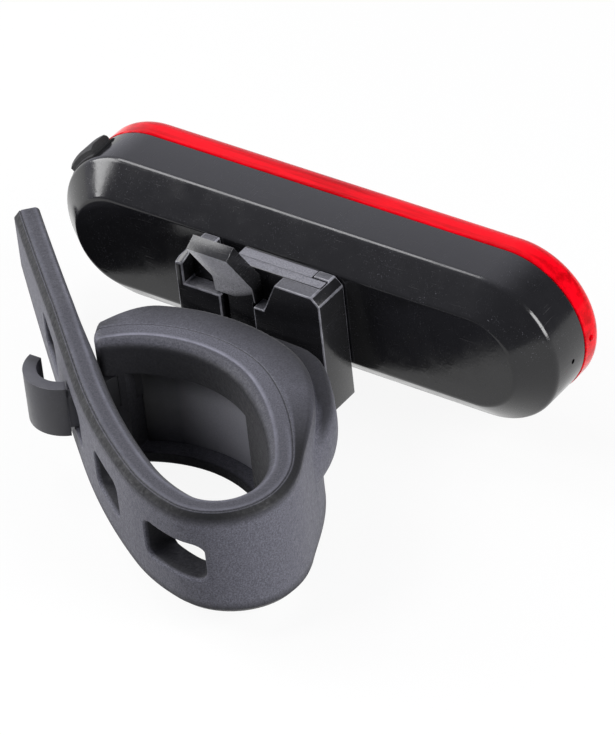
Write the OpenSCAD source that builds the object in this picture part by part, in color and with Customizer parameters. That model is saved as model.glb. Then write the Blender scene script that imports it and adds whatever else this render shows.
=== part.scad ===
// Bicycle rear light: a pill-shaped lamp head that slides into a strap-on seat-post bracket.
// Frame: +Z up along the seat post, +Y the way the lens faces, and the origin on the post's
// axis at mid-height of the strap. Sizes are in millimetres.

/* [Lamp head] */
// Overall length of the head
head_len = 100; // [90:1:120]
// Height of the head, twice the radius of its round ends
head_h = 28.4; // [26:0.2:32]
// Depth of the rear housing from its back face to the lens joint
housing_depth = 13; // [12.6:0.2:16]
// How far the bevel round the back face runs in from the side
bevel_inset = 5.4; // [3:0.2:6]
// How far the bevel round the back face runs forward
bevel_depth = 4.7; // [3:0.1:5.2]
// Wall of the rear housing
wall = 1.8; // [1.5:0.1:2.2]
// Depth of the lens from its joint to its front
lens_depth = 5.6; // [4.6:0.2:8]
// Rounding of the lens's front edge
lens_edge_r = 3; // [1.5:0.25:4]
// Rise of the lens's front over its flat edge
lens_crown = 0.4; // [0.2:0.1:1]
// Wall of the lens
lens_wall = 1.6; // [1.2:0.1:2]
// Offset of the head's middle from the post's axis, along the head
head_x = 3; // [-5:0.5:5]
// Height of the head's middle above the strap's middle
head_z = 6; // [3:0.5:9]

/* [Inside the head] */
// Height of the circuit board
board_h = 19; // [16:0.5:21]
// Thickness of the circuit board
board_t = 1.6; // [1:0.2:2]
// Length of the battery cell
battery_len = 50; // [40:1:56]
// Height of the battery cell
battery_h = 16; // [12:0.5:16.5]
// Thickness of the battery cell
battery_t = 5.2; // [4:0.2:5.4]
// Thickness of the foam pad under the cell
pad_foam_t = 0.6; // [0.4:0.1:1]
// Number of light-emitting diodes in the row
led_count = 10; // [6:1:10]
// Side of one diode package
led_size = 3; // [2:0.2:3.4]
// Depth of the white reflector tray
tray_t = 3.8; // [2.5:0.2:4]
// Radius of a board screw's shank
screw_r = 0.9; // [0.7:0.05:1.1]
// Radius of a board screw's head
screw_head_r = 1.7; // [1.4:0.1:2]

/* [Button and port] */
// Length of the power button
button_len = 10; // [8:0.5:14]
// Width of the power button
button_w = 4.2; // [3.4:0.2:5]
// How far the button stands out of the underside
button_proud = 0.7; // [0.3:0.1:1.2]
// Travel of the power button
button_travel = 0.5; // [0.3:0.1:0.8]
// Angle of the port cover's hinge below the middle of the head's end
cover_low = 45; // [42:1:50]
// Angle of the port cover's upper end above the middle of the head's end
cover_high = 58; // [50:1:62]
// How far the cover's grip tab stands out
cover_tab = 1.6; // [1:0.1:2.4]
// Width of the charging socket
usb_w = 8.9; // [7.4:0.1:9.2]
// Height of the charging socket
usb_h = 3.2; // [2.6:0.1:3.4]
// Length of the charging socket
usb_len = 7.3; // [5:0.1:8]

/* [Bracket] */
// Width of the receiver that the head slides into
receiver_w = 29.4; // [28:0.2:34]
// Depth of the receiver
receiver_d = 7.2; // [6.8:0.1:9]
// Reach of the receiver below the strap's middle
receiver_low = 8.8; // [7:0.2:10]
// Reach of the receiver above the strap's middle
receiver_high = 15; // [13:0.2:18]
// Side wall of the receiver
side_wall = 1.5; // [1.2:0.1:2]
// Thickness of the head's sliding plate
plate_t = 2.2; // [1.8:0.1:2.6]
// Thickness of the neck between plate and head
neck_t = 2.2; // [1.8:0.1:2.6]
// Width of each lip that holds the plate
lip_w = 3; // [2:0.2:4]
// Width of the latch's lever
latch_w = 8.1; // [6:0.1:8.4]
// Thickness of the release latch
latch_t = 2.7; // [1.8:0.1:3]
// Lean of the latch's lever away from the head, in degrees
latch_lean = 32; // [20:1:40]
// Length of the latch's lever
lever_len = 11; // [8:0.5:14]
// Width of the flex slit on the latch's left
slit_w = 1.4; // [0.8:0.1:2]

/* [Strap and hook] */
// Height of the rubber strap
strap_h = 20; // [18:0.5:24]
// Height of the strap's tip above the strap's middle
tip_high = 5; // [3.5:0.1:7]
// Reach of the strap's tip below the strap's middle
tip_low = 7.5; // [5:0.1:9]
// Length of the tail over which the strap narrows
taper_len = 36; // [20:1:44]
// Flat width of the strap's rim
rim_w = 2.9; // [2.4:0.1:3.6]
// Extra rim width on the pad
pad_rim = 1; // [0.4:0.1:1.6]
// Width of the chamfer on the strap's outer edges
strap_chamfer = 1.2; // [0.6:0.1:1.4]
// Width of the chamfer on the strap's inner edges
edge_cut = 1.2; // [0.6:0.1:1.4]
// Width of the pad's sloping shoulder
pad_shoulder = 7.4; // [5.6:0.2:9]
// Diameter of the seat post that the pad is seated on
post_d = 31; // [27:0.2:34]
// Radius of the pad's hollow face
pad_r = 25; // [22:0.5:30]
// Radius of the strap's tight bend
bend_r = 8; // [7:0.5:11]
// Length of the strap's straight tail
tail_len = 55.5; // [48:0.5:60]
// Length of a strap slot
slot_len = 10.4; // [9:0.2:12]
// Height of a strap slot
slot_h = 7; // [6:0.2:9]
// Distance between strap slots
slot_pitch = 20; // [17:0.2:23]
// Number of strap slots
slot_count = 4; // [3:1:4]
// How far the pad reaches below the strap's lower edge
pad_low = 6; // [4:0.1:7]
// Width of the window in the pad
window_w = 24.4; // [20:0.2:25]
// Height of the window in the pad
window_h = 16.4; // [14:0.2:17]
// Height of the window's upper edge above the strap's middle
window_top = 3.4; // [3:0.1:4]
// Depth of the saddle below the pad's face
window_sink = 2; // [1:0.1:3]
// Depth of the saddle block behind the pad's face
saddle_deep = 7; // [6:0.2:8]
// Radius of the hook at the middle of its wall
hook_r = 5.65; // [5.2:0.05:6.4]
// Wall of the hook
hook_t = 2.3; // [1.6:0.1:2.4]
// Height of the hook's curl
hook_h = 9.6; // [7.5:0.1:12]
// Distance of the hook along the strap's tail
hook_at = 4.45; // [4:0.05:8]

/* [Hidden] */
// Gap between parts that slide or are pushed together
fit = 0.1;
// Gap round parts that swing
swing = 0.2;
// Gap round the hook's neck in its slot
slot_gap = 0.4;
// Overlap of shapes that are joined into one solid, and of cuts through a face
eps = 0.5;
$fn = 48;

// Head frame: x along the head, y down, z from the back face to the lens
end_r = head_h / 2;
end_x = head_len / 2 - end_r;
collar_len = 3.4;
pad_t = rim_w + pad_rim + pad_shoulder;
pad_face_y = post_d / 2;
receiver_y = pad_face_y + pad_t + collar_len;
back_y = receiver_y + receiver_d + swing;
inner_r = end_r - wall;
back_r = end_r - bevel_inset;
bevel_l = norm([bevel_inset, bevel_depth]);
// Where the inside of the bevel leaves the floor and reaches the side wall
floor_r = back_r + wall * (bevel_inset - bevel_l) / bevel_depth;
bevel_top = wall + (inner_r - floor_r) * bevel_depth / bevel_inset;

lens_z = housing_depth + fit;
lens_front = housing_depth + lens_depth;
lens_r = end_r + fit;
skirt_t = 1.2;
skirt_deep = 1.9;
seal_w = 0.8;
seal_sink = 0.6;
seal_r = end_r - wall / 2;

battery_z = wall + pad_foam_t;
board_room = 1.8;
board_z = battery_z + battery_t + board_room;
board_front = board_z + board_t;
boss_r = 2.2;
screw_len = 5;
screw_head_t = 1.2;
screw_x = end_x + 0.2;
led_t = 0.8;
tray_r = inner_r - fit - skirt_t - fit;
// Gap between the last diode and a screw head
led_gap = 0.4;
led_pitch = 2 * (screw_x - screw_head_r - led_size / 2 - led_gap) / (led_count - 1);
well_r = led_size * 0.74;
well_flare = 0.85;

button_z = 8.4;
flange_w = 0.6;
button_top = end_r - wall - 0.7;
switch_tip = button_top - button_travel - fit;
port_z = board_z - usb_h / 2;
cover_back = bevel_depth + 0.9;
cover_front = housing_depth - 1.4;
cover_sink = 0.7;
cover_proud = 0.3;
tab_deg = 30;
plug_slack = 1;

// Bracket heights and places, measured from the strap's middle
plate_w = receiver_w - 2 * (side_wall + fit);
plate_y = back_y - neck_t - plate_t;
plate_top = head_z + back_r;
plate_bottom = -receiver_low + side_wall + fit;
front_wall = plate_y - fit - receiver_y;
lip_x = plate_w / 2 - lip_w;
latch_right = 1;
stem_right = 0.4;
stem_w = 4.9;
stem_y = 0.6;
latch_root = 4;
front_low = 9;
lever_z = front_low + 3.6;
front_high_x = 6;
notch_slope = 3;
corner_cut = 1.5;

// Runs of the strap's inner face: radius and turn of each arc, from the pad's left end
pad_left = 38;
runs = [[pad_r, pad_left + 31], [2 * pad_r, 24], [1.5 * bend_r, 35], [bend_r, 100], [4 * bend_r, 20],
        [16.25 * bend_r, 12], [2000, tail_len / 2000 * 180 / PI]];
tail_run = len(runs) - 1;
run_steps = [18, 7, 6, 16, 5, 6, 10];
pad_drop = 2.1;
// Rounding of the pad's outer edge: its width and how far below the rim it starts
pad_round = 1.1;
pad_fall = 0.74;
pad_end = 1.5;

function run_len(i) = runs[i][0] * runs[i][1] * PI / 180;
function run_start(i) = i == 0 ? 0 : run_start(i - 1) + run_len(i - 1);
// Pose [x, y, heading] after a right-hand turn of a degrees on radius r
function turn(p, r, a) =
    [p[0] + r * (sin(p[2]) - sin(p[2] - a)), p[1] + r * (cos(p[2] - a) - cos(p[2])), p[2] - a];
pad_start = [-pad_r * sin(pad_left), pad_face_y - pad_r * (1 - cos(pad_left)), pad_left];
// Pose on the strap's inner face at distance s from the pad's left end
function pose(s, i = 0, p = pad_start) =
    i == tail_run || s <= run_len(i)
    ? turn(p, runs[i][0], s / runs[i][0] * 180 / PI)
    : pose(s - run_len(i), i + 1, turn(p, runs[i][0], runs[i][1]));
// Point at offset n outwards from a pose
function off(p, n) = [p[0] - n * sin(p[2]), p[1] + n * cos(p[2])];
function smooth(t) = let (u = min(max(t, 0), 1)) u * u * (3 - 2 * u);

tail_start = run_start(tail_run);
strap_len = tail_start + tail_len;
hook_s = tail_start + hook_at;
strap_t = edge_cut + rim_w + strap_chamfer;
pad_mid = pad_r * pad_left * PI / 180;
// Share of the pad's shoulder at distance s
function pad_share(s) = smooth((s + 5) / 12) * (1 - smooth((s - pad_mid - 8) / 30));
function rim(s) = rim_w + pad_rim * pad_share(s);
function shoulder(s) = strap_chamfer + (pad_shoulder - strap_chamfer) * pad_share(s);
function drop(s) = strap_chamfer + (pad_drop - strap_chamfer) * pad_share(s);
// Width of the outer edge's last facet, and the height that it starts below the rim
function facet(s) = strap_chamfer / 3 + (pad_round - strap_chamfer / 3) * pad_share(s);
function fall(s) = strap_chamfer * 2 / 3 + (pad_fall - strap_chamfer * 2 / 3) * pad_share(s);
function narrow(s) = max(0, s - strap_len + taper_len) / taper_len;
function half_h(s) = strap_h / 2 - (strap_h / 2 - tip_high) * narrow(s);
// Reach below the strap's middle, deeper on the pad
function low_h(s) =
    strap_h / 2 - (strap_h / 2 - tip_low) * narrow(s) + pad_low * (1 - smooth((s - pad_mid - 8) / 50));
// Broken inner edge, finer on the tail
function inner_edge(s) = edge_cut * (1 - 0.6 * smooth((s - tail_start) / 20));
// Strap section between offsets n0 and n1 and heights -g and h: rim, shoulder c wide, last facet b wide
// that falls from m to d below the rim, and broken inner edge e
function section(p, n0, n1, c, b, m, d, h, g, e) =
    [for (q = [[n0, e - g], [n0, h - e], [n0 + e, h], [n1 - c, h], [n1 - b, h - m], [n1, h - d],
               [n1, d - g], [n1 - b, m - g], [n1 - c, -g], [n0 + e, -g]])
        let (o = off(p, q[0])) [o[0], o[1], q[1]]];
function strap_section(s) =
    section(pose(s), -inner_edge(s), rim(s) + shoulder(s), shoulder(s), facet(s), fall(s), drop(s),
            half_h(s), low_h(s), inner_edge(s));
// Rounded end of the pad: sections that close in on the middle of its thickness
function end_section(t) =
    let (out = rim(0) + shoulder(0), k = cos(t), mid = 1.6, b = pad_end * sin(t), p = pad_start,
         h = strap_h / 2 - 1.2 * (1 - k))
    section([p[0] - b * cos(p[2]), p[1] - b * sin(p[2]), p[2]], mid - (mid + edge_cut) * k,
            mid + (out - mid) * k, shoulder(0) * k, facet(0) * k, fall(0) + (1 - k), drop(0) + 2 * (1 - k),
            h, h + pad_low, edge_cut * k);
// Rounded tip of the tail
function tip_section(t) =
    let (p = pose(strap_len), b = 2 * sin(t), k = cos(t), e = inner_edge(strap_len), c = strap_chamfer,
         cut = 2.4 * (1 - k))
    section([p[0] + b * cos(p[2]), p[1] + b * sin(p[2]), p[2]], 0.5 * (1 - k) - e,
            rim_w + c - (1 - k), c, c / 3, c * 2 / 3, c, tip_high - cut, tip_low - cut, e);
strap_rings = concat(
    [for (t = [75, 50, 25]) end_section(t)],
    [for (i = [0:tail_run]) for (j = [0:run_steps[i] - 1])
        strap_section(run_start(i) + run_len(i) * j / run_steps[i])],
    [for (t = [0, 30, 60]) tip_section(t)]);

// Slots, counted from the one on the hook, whose far end bears on the hook
slot_past = 3.55;
slot_s = hook_s + slot_past - slot_len / 2;
slot_places = [for (k = [0:slot_count - 1]) slot_s + (k - slot_count + 2) * slot_pitch];
slot_corner = 1.5;
slot_outline = [for (q = [0:3]) for (i = [0:3])
    let (a = 90 * q + 30 * i, x = q == 0 || q == 3 ? 1 : -1, z = q < 2 ? 1 : -1)
    [x * (slot_len / 2 - slot_corner) + slot_corner * cos(a),
     z * (slot_h / 2 - slot_corner) + slot_corner * sin(a)]];
hook_out = 2.45;
hook_pose = pose(hook_s);
hook_mid = off(hook_pose, strap_t / 2 - edge_cut + hook_out);
hook_c = [hook_mid[0] + hook_r * cos(hook_pose[2]), hook_mid[1] + hook_r * sin(hook_pose[2])];
hook_neck_h = slot_h - 2 * slot_gap;
hook_tip = 43;
hook_neck = 172;
hook_root = 214;
// Half width and half height of the saddle's neck
saddle_neck = [10, 3.4];
root_deg = hook_root + hook_pose[2];
root_from = [hook_c[0] + hook_r * cos(root_deg), hook_c[1] + hook_r * sin(root_deg)];
root_to = [-window_w / 2 + eps, pad_face_y + saddle_deep / 2];

// Puts a shape of the head's frame where the head sits in the bracket
module head_place() {
    translate([head_x, back_y, head_z]) rotate([-90, 0, 0]) children();
}

// Sweeps a half profile, drawn as radius and depth, round a pill with end centres at x = +-half
module pill(half = end_x) {
    translate([half, 0, 0]) rotate([0, 0, -90]) rotate_extrude(angle = 180) children();
    translate([-half, 0, 0]) rotate([0, 0, 90]) rotate_extrude(angle = 180) children();
    rotate([90, 0, 90]) linear_extrude(2 * half, center = true) {
        children();
        mirror([1, 0]) children();
    }
}

// Profile of the lens's outside, or of its inside at a wall's distance
module lens_profile(inset) {
    flat_r = lens_r - lens_edge_r;
    r = lens_edge_r - inset;
    crown_steps = 6;
    edge_steps = 8;
    polygon(concat(
        [[0, lens_z - eps]],
        [for (i = [0:crown_steps])
            let (u = i / crown_steps)
            [u * flat_r, lens_front - inset + lens_crown * (1 - u * u)]],
        [for (i = [1:edge_steps])
            let (a = 90 - 90 * i / edge_steps)
            [flat_r + r * cos(a), lens_front - lens_edge_r + r * sin(a)]],
        [[flat_r + r, lens_z - eps]]));
}

module rear_housing() color("#16171a") {
    head_place() {
        difference() {
            pill() polygon([[0, 0], [back_r, 0], [end_r, bevel_depth], [end_r, housing_depth],
                            [0, housing_depth]]);
            pill() polygon([[0, wall], [floor_r, wall], [inner_r, bevel_top],
                            [inner_r, housing_depth + eps], [0, housing_depth + eps]]);
            seal_ring();
            port_cut();
            translate([0, end_r, button_z]) rotate([90, 0, 0])
                pill((button_len - button_w) / 2) translate([0, -eps])
                    square([button_w / 2 + fit, wall + 2 * eps]);
            gate_mark();
        }
        for (side = [-1, 1]) translate([side * screw_x, 0, 0]) boss();
    }
    tongue();
}

// Groove and seal share one section in the housing's rim
module seal_ring() {
    pill() translate([seal_r - seal_w / 2, housing_depth - seal_sink])
        square([seal_w, seal_sink + fit]);
}

// Shallow round mark that the moulding leaves at the head's right end
module gate_mark() {
    mark_r = 0.45;
    mark_deep = 0.4;
    translate([end_x, 0, 9.3]) rotate([0, 90, 5])
        translate([0, 0, end_r - mark_deep]) cylinder(r = mark_r, h = mark_deep + eps);
}

module boss() {
    difference() {
        translate([0, 0, wall - eps]) cylinder(r = boss_r, h = board_z - wall + eps);
        translate([0, 0, board_z - screw_len]) cylinder(r = screw_r + 0.02, h = screw_len + eps);
    }
}

// Recess for the cover and the opening through the left end
module port_cut() {
    translate([-end_x, 0, 0]) {
        cover_sector(-cover_low - 2.5, cover_high + 1)
            translate([end_r - cover_sink - fit, cover_back - swing])
                square([cover_sink + fit + eps, cover_front - cover_back + 2 * swing]);
        translate([-end_r - eps, -usb_w / 2 - swing, port_z - usb_h / 2 - swing])
            cube([2 * wall + eps, usb_w + 2 * swing, usb_h + 2 * swing]);
    }
}

// Revolves a profile round the head's left end, from a lower to an upper angle off its middle
module cover_sector(low, high) {
    rotate([0, 0, 180 + low]) rotate_extrude(angle = high - low) children();
}

// Plate and neck on the housing's back that slide into the receiver
module tongue() {
    notch = 4.9;
    plate_h = plate_top - plate_bottom;
    lead = 1.2;
    translate([0, plate_y, 0]) rotate([90, 0, 0]) translate([0, 0, -plate_t])
        linear_extrude(plate_t)
            polygon([[-plate_w / 2, plate_top], [plate_w / 2, plate_top],
                     [plate_w / 2, plate_bottom + lead], [plate_w / 2 - lead, plate_bottom],
                     [lead - plate_w / 2, plate_bottom], [-plate_w / 2, plate_bottom + lead]]);
    neck_w = 2 * (lip_x - fit);
    notch_h = 6;
    translate([-neck_w / 2, plate_y + plate_t - fit, plate_bottom])
        cube([neck_w, neck_t + 2 * fit, plate_h - notch_h]);
    translate([notch - neck_w / 2, plate_y + plate_t - fit, plate_bottom])
        cube([neck_w - notch, neck_t + 2 * fit, plate_h]);
}

module lens() color("#d5101a", 0.8) head_place() {
    difference() {
        pill() lens_profile(0);
        pill() lens_profile(lens_wall);
        translate([-head_len, -head_h, lens_z - 2 * eps]) cube([2 * head_len, 2 * head_h, 2 * eps]);
    }
    pill() translate([inner_r - fit - skirt_t, lens_z - skirt_deep])
        square([skirt_t, skirt_deep + lens_wall]);
    pill() translate([inner_r - fit - skirt_t, lens_z])
        square([lens_r - inner_r + skirt_t, lens_wall / 2]);
    translate([end_x + lens_r - eps, 0, lens_z + lens_depth / 3]) rotate([0, 90, 0])
        cylinder(r1 = 0.6, r2 = 0.4, h = eps + 0.35);
}

module lens_gasket() color("#2a2a2c") head_place() seal_ring();

module reflector_tray() color("#e9e9e6") head_place() difference() {
    pill() translate([0, board_front]) square([tray_r, tray_t]);
    for (i = [0:led_count - 1]) translate([led_place(i), 0, board_front - fit])
        cylinder(r1 = well_r, r2 = well_r + tray_t * well_flare * 0.35, h = tray_t + 2 * fit);
    for (side = [-1, 1]) translate([side * screw_x, 0, board_front - eps])
        cylinder(r = screw_head_r + 2 * fit, h = tray_t + 2 * eps);
}

function led_place(i) = (i - (led_count - 1) / 2) * led_pitch;

module led_board() color("#1f5a36") head_place() difference() {
    pill() translate([0, board_z]) square([board_h / 2, board_t]);
    for (side = [-1, 1]) translate([side * screw_x, 0, board_z - eps])
        cylinder(r = screw_r + fit, h = board_t + 2 * eps);
}

module leds() color("#f2e6b8") head_place()
    for (i = [0:led_count - 1]) translate([led_place(i), 0, board_front]) {
        translate([-led_size / 2, -led_size / 2, 0]) cube([led_size, led_size, led_t]);
        translate([0, 0, led_t]) cylinder(r = led_size * 0.4, h = 0.2);
    }

// Controller and charger packages on the board's back
module driver_chips() color("#202124") head_place() {
    chip_t = 1.2;
    chip_x = end_x - 6.8;
    for (chip = [[-chip_x, -5.5, 5, 4], [chip_x, -5.5, 4, 4], [chip_x + 0.5, 5.5, 3, 3]])
        translate([chip[0] - chip[2] / 2, chip[1] - chip[3] / 2, board_z - chip_t])
            cube([chip[2], chip[3], chip_t]);
}

module usb_socket() color("#b9bcc2") head_place() {
    shell = 0.3;
    mouth_x = -end_x - inner_r + fit;
    translate([mouth_x, 0, port_z]) rotate([0, 90, 0]) difference() {
        usb_body(usb_len, 0);
        translate([0, 0, -eps]) usb_body(usb_len - shell + eps, shell);
    }
}

module usb_tongue() color("#1b1b1c") head_place() {
    tongue_w = usb_w * 0.74;
    tongue_t = 0.7;
    translate([-end_x - inner_r + fit + 1, -tongue_w / 2, port_z - tongue_t / 2])
        cube([usb_len - 1.3, tongue_w, tongue_t]);
}

// Flat-sided socket shell with round ends, drawn along z
module usb_body(length, inset) {
    half = usb_w / 2 - usb_h / 2;
    rotate([0, 0, 90]) pill(half) square([usb_h / 2 - inset, length]);
}

module tact_switch() color("#c9c9c6") head_place() {
    body_w = 4.6;
    body_h = 3;
    body_t = 1.5;
    translate([-body_w / 2, switch_tip - body_h - 0.6, board_z - body_t])
        cube([body_w, body_h, body_t]);
    translate([-1.2, switch_tip - 1, board_z - body_t + 0.2]) cube([2.4, 1, 1]);
}

module battery_cell() color("#9aa2ad") head_place() {
    edge = 1.4;
    translate([-battery_len / 2, 0, battery_z]) rotate([90, 0, 90]) linear_extrude(battery_len)
        polygon([[-battery_h / 2, edge], [edge - battery_h / 2, 0], [battery_h / 2 - edge, 0],
                 [battery_h / 2, edge], [battery_h / 2, battery_t - edge],
                 [battery_h / 2 - edge, battery_t], [edge - battery_h / 2, battery_t],
                 [-battery_h / 2, battery_t - edge]]);
}

module battery_foam() color("#3b3b3d") head_place()
    translate([2 - battery_len / 2, 2 - battery_h / 2, wall])
        cube([battery_len - 4, battery_h - 4, pad_foam_t]);

// Small circuit board across the cell's end
cell_board_t = 1;
module protection_board() color("#1e4f6e") head_place() {
    board_half = battery_h * 0.4;
    translate([battery_len / 2, -board_half, battery_z + battery_t * 0.15])
        cube([cell_board_t, 2 * board_half, battery_t * 0.7]);
}

// Lead from the cell's end, bent up to the board
module battery_lead(side) {
    lead_r = 0.55;
    bend = 1.6;
    reach = 2;
    lead_z = battery_z + battery_t / 2;
    translate([battery_len / 2 + cell_board_t, side * 2.4, lead_z]) {
        rotate([0, 90, 0]) cylinder(r = lead_r, h = reach);
        translate([reach, 0, bend]) rotate([90, 0, 0]) rotate([0, 0, -90])
            rotate_extrude(angle = 90) translate([bend, 0]) circle(r = lead_r);
        translate([reach + bend, 0, bend]) cylinder(r = lead_r, h = board_z - lead_z - bend);
    }
}

module battery_lead_red() color("#b3161c") head_place() battery_lead(-1);

module battery_lead_black() color("#151515") head_place() battery_lead(1);

module board_screws() color("#c4c6ca") head_place()
    for (side = [-1, 1]) translate([side * screw_x, 0, board_front]) {
        translate([0, 0, fit + 0.2 - screw_len]) cylinder(r = screw_r, h = screw_len);
        difference() {
            cylinder(r = screw_head_r, h = screw_head_t);
            for (a = [0, 90]) rotate([0, 0, a]) translate([-1, -0.2, screw_head_t - 0.5])
                cube([2, 0.4, 1]);
        }
    }

module power_button() color("#26272a") head_place()
    translate([0, end_r, button_z]) rotate([90, 0, 0]) {
        cap_h = button_proud + wall + fit;
        flange_t = end_r - inner_r - wall + 0.6;
        half = (button_len - button_w) / 2;
        translate([0, 0, -button_proud]) pill(half)
            polygon([[0, 0], [button_w / 2 - 0.5, 0], [button_w / 2, 0.4], [button_w / 2, cap_h + eps],
                     [0, cap_h + eps]]);
        translate([0, 0, wall + fit]) pill(half) square([button_w / 2 + flange_w, flange_t]);
    }

// Rubber cover hinged at its lower end, with a grip tab at the top and a plug for the port
module port_cover() color("#1d1d1f") head_place() translate([-end_x, 0, 0]) {
    base_r = end_r - cover_sink;
    cover_sector(-cover_low, cover_high)
        polygon([[base_r, cover_back], [end_r + cover_proud / 2, cover_back],
                 [end_r + cover_proud, cover_back + 0.4], [end_r + cover_proud, cover_front - 0.4],
                 [end_r + cover_proud / 2, cover_front], [base_r, cover_front]]);
    cover_sector(cover_high - tab_deg, cover_high - 1.5)
        polygon([[end_r - cover_sink / 2, cover_back + 0.5], [end_r + cover_tab - 0.5, cover_back + 0.7],
                 [end_r + cover_tab, cover_back + 1.6], [end_r + cover_tab, cover_front - 1.2],
                 [end_r + cover_tab - 0.5, cover_front - 0.7],
                 [end_r - cover_sink / 2, cover_front - 0.5]]);
    plug_w = usb_w - 2 * plug_slack;
    plug_h = usb_h - 0.8;
    translate([-base_r - fit, -plug_w / 2, port_z - plug_h / 2])
        cube([wall - cover_sink + fit - swing, plug_w, plug_h]);
}

module receiver() color("#0f1012") difference() {
    receiver_body();
    // Channel for the plate, and the gap between the lips for the neck
    translate([-plate_w / 2 - fit, plate_y - fit, -receiver_low + side_wall])
        cube([plate_w + 2 * fit, plate_t + 2 * fit, receiver_high + receiver_low]);
    translate([-lip_x, plate_y, -receiver_low + side_wall])
        cube([2 * lip_x, receiver_d, receiver_high + receiver_low]);
    // Low front wall on the latch's side, up to a slanting edge
    translate([0, receiver_y + front_wall + eps, 0]) rotate([90, 0, 0])
        linear_extrude(front_wall + 2 * eps)
            polygon([[-receiver_w / 2 + side_wall, front_low], [front_high_x - notch_slope, front_low],
                     [front_high_x, receiver_high + eps],
                     [-receiver_w / 2 + side_wall, receiver_high + eps]]);
    // Room for the latch's stem between its flex slits
    translate([stem_right - stem_w - slit_w, receiver_y - eps, latch_root - latch_t / 2 - swing])
        cube([stem_w + slit_w + 0.5, front_wall + 2 * eps, receiver_high]);
    left_slope();
}

// Outline seen from the front, with its top corners cut
module receiver_body() {
    half = receiver_w / 2;
    translate([0, receiver_y + receiver_d, 0]) rotate([90, 0, 0]) linear_extrude(receiver_d)
        polygon([[-half, -receiver_low], [half, -receiver_low], [half, receiver_high - corner_cut],
                 [half - corner_cut, receiver_high], [corner_cut - half, receiver_high],
                 [-half, receiver_high - corner_cut]]);
}

// Slope on the left wall's top, falling towards the front
module left_slope() {
    fall = 2.1;
    run = receiver_d - neck_t;
    translate([-receiver_w / 2 - eps, receiver_y, receiver_high]) rotate([90, 0, 90])
        linear_extrude(side_wall + 2 * eps) polygon([[-eps, eps], [run, eps], [run, 0], [-eps, -fall]]);
}

// Springy stem with a catch, carrying the leaning lever that the thumb pulls
module release_latch() color("#141518") translate([0, receiver_y, 0]) {
    stem_t = front_wall - stem_y - swing;
    lean = [-sin(latch_lean), cos(latch_lean)];
    side = [cos(latch_lean), sin(latch_lean)];
    root = [0.2, lever_z];
    tip = root + lean * lever_len;
    translate([latch_right - latch_w, 0, 0]) rotate([90, 0, 90]) linear_extrude(latch_w)
        polygon([[stem_y, front_low + 0.4], root, tip, tip + side * latch_t,
                 [stem_y + stem_t, root[1] + 1.2], [stem_y + stem_t, front_low + 0.4]]);
    translate([stem_right - stem_w, 0, 0]) {
        rotate([90, 0, 90]) linear_extrude(stem_w)
            polygon([[stem_y, latch_root], [stem_y, front_low + 0.6], [stem_y + stem_t, front_low + 0.6],
                     [stem_y + stem_t, latch_root]]);
        translate([0, stem_y + stem_t / 2, latch_root]) rotate([0, 90, 0])
            cylinder(d = stem_t * 0.96, h = stem_w);
    }
}

// Block that fills the pad's window, hollowed to the post, with the hook on its left
module saddle_hook() color("#191a1d") {
    difference() {
        saddle_block(0);
        translate([0, pad_face_y - pad_r, -window_h]) cylinder(r = pad_r + window_sink, h = 2 * window_h);
    }
    // The neck is a hair thinner than the curl that it runs into
    hook_arm(-0.02);
    translate([hook_c[0], hook_c[1], 0]) rotate([0, 0, hook_pose[2] + hook_tip])
        rotate_extrude(angle = hook_neck - hook_tip) hook_wall(hook_h);
}

// Block in the window, and the neck that carries it on the receiver
module saddle_block(grow) {
    front = pad_face_y - pad_r * 0.3;
    back = pad_face_y + saddle_deep;
    middle = window_top - window_h / 2;
    saddle_box(window_w / 2 + grow, window_h / 2 + grow, middle, front, back + grow);
    saddle_box(saddle_neck[0] + grow, saddle_neck[1] + grow, 0, back - eps, receiver_y + grow);
}

module saddle_box(half_w, half_h, middle, front, back) {
    translate([-half_w, front, middle - half_h]) cube([2 * half_w, back - front, 2 * half_h]);
}

// Wall of the hook in section, at a given height
module hook_wall(height, grow = 0) {
    translate([hook_r - hook_t / 2 - grow, -height / 2 - grow])
        square([hook_t + 2 * grow, height + 2 * grow]);
}

// Neck of the hook through the strap's slot, and its root inside the pad
module hook_arm(grow) {
    translate([hook_c[0], hook_c[1], 0]) rotate([0, 0, hook_pose[2] + hook_neck - 4])
        rotate_extrude(angle = hook_root - hook_neck + 4) hook_wall(hook_neck_h, grow);
    run = root_to - root_from;
    translate([root_from[0], root_from[1], 0]) rotate([0, 0, atan2(run[1], run[0])])
        translate([-hook_t * 0.4 - grow, -hook_t / 2 - grow, -hook_neck_h / 2 - grow])
            cube([norm(run) + hook_t * 0.4 + grow, hook_t + 2 * grow, hook_neck_h + 2 * grow]);
}

// Pad and strap as one moulding, swept along its runs
module rubber_strap() color("#3a3b3e") difference() {
    union() {
        swept(strap_rings);
        collar();
    }
    saddle_block(fit);
    hook_arm(fit);
    for (s = slot_places) strap_slot(s);
}

// Closed skin over rings of equal count
module swept(rings) {
    n = len(rings);
    m = len(rings[0]);
    polyhedron(
        points = [for (ring = rings) for (p = ring) p],
        faces = concat(
            [[for (j = [0:m - 1]) m - 1 - j]],
            [for (i = [0:n - 2]) for (j = [0:m - 1]) [i * m + j, i * m + (j + 1) % m, (i + 1) * m + j]],
            [for (i = [0:n - 2]) for (j = [0:m - 1])
                [(i + 1) * m + j, i * m + (j + 1) % m, (i + 1) * m + (j + 1) % m]],
            [[for (j = [0:m - 1]) (n - 1) * m + j]]));
}

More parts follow.
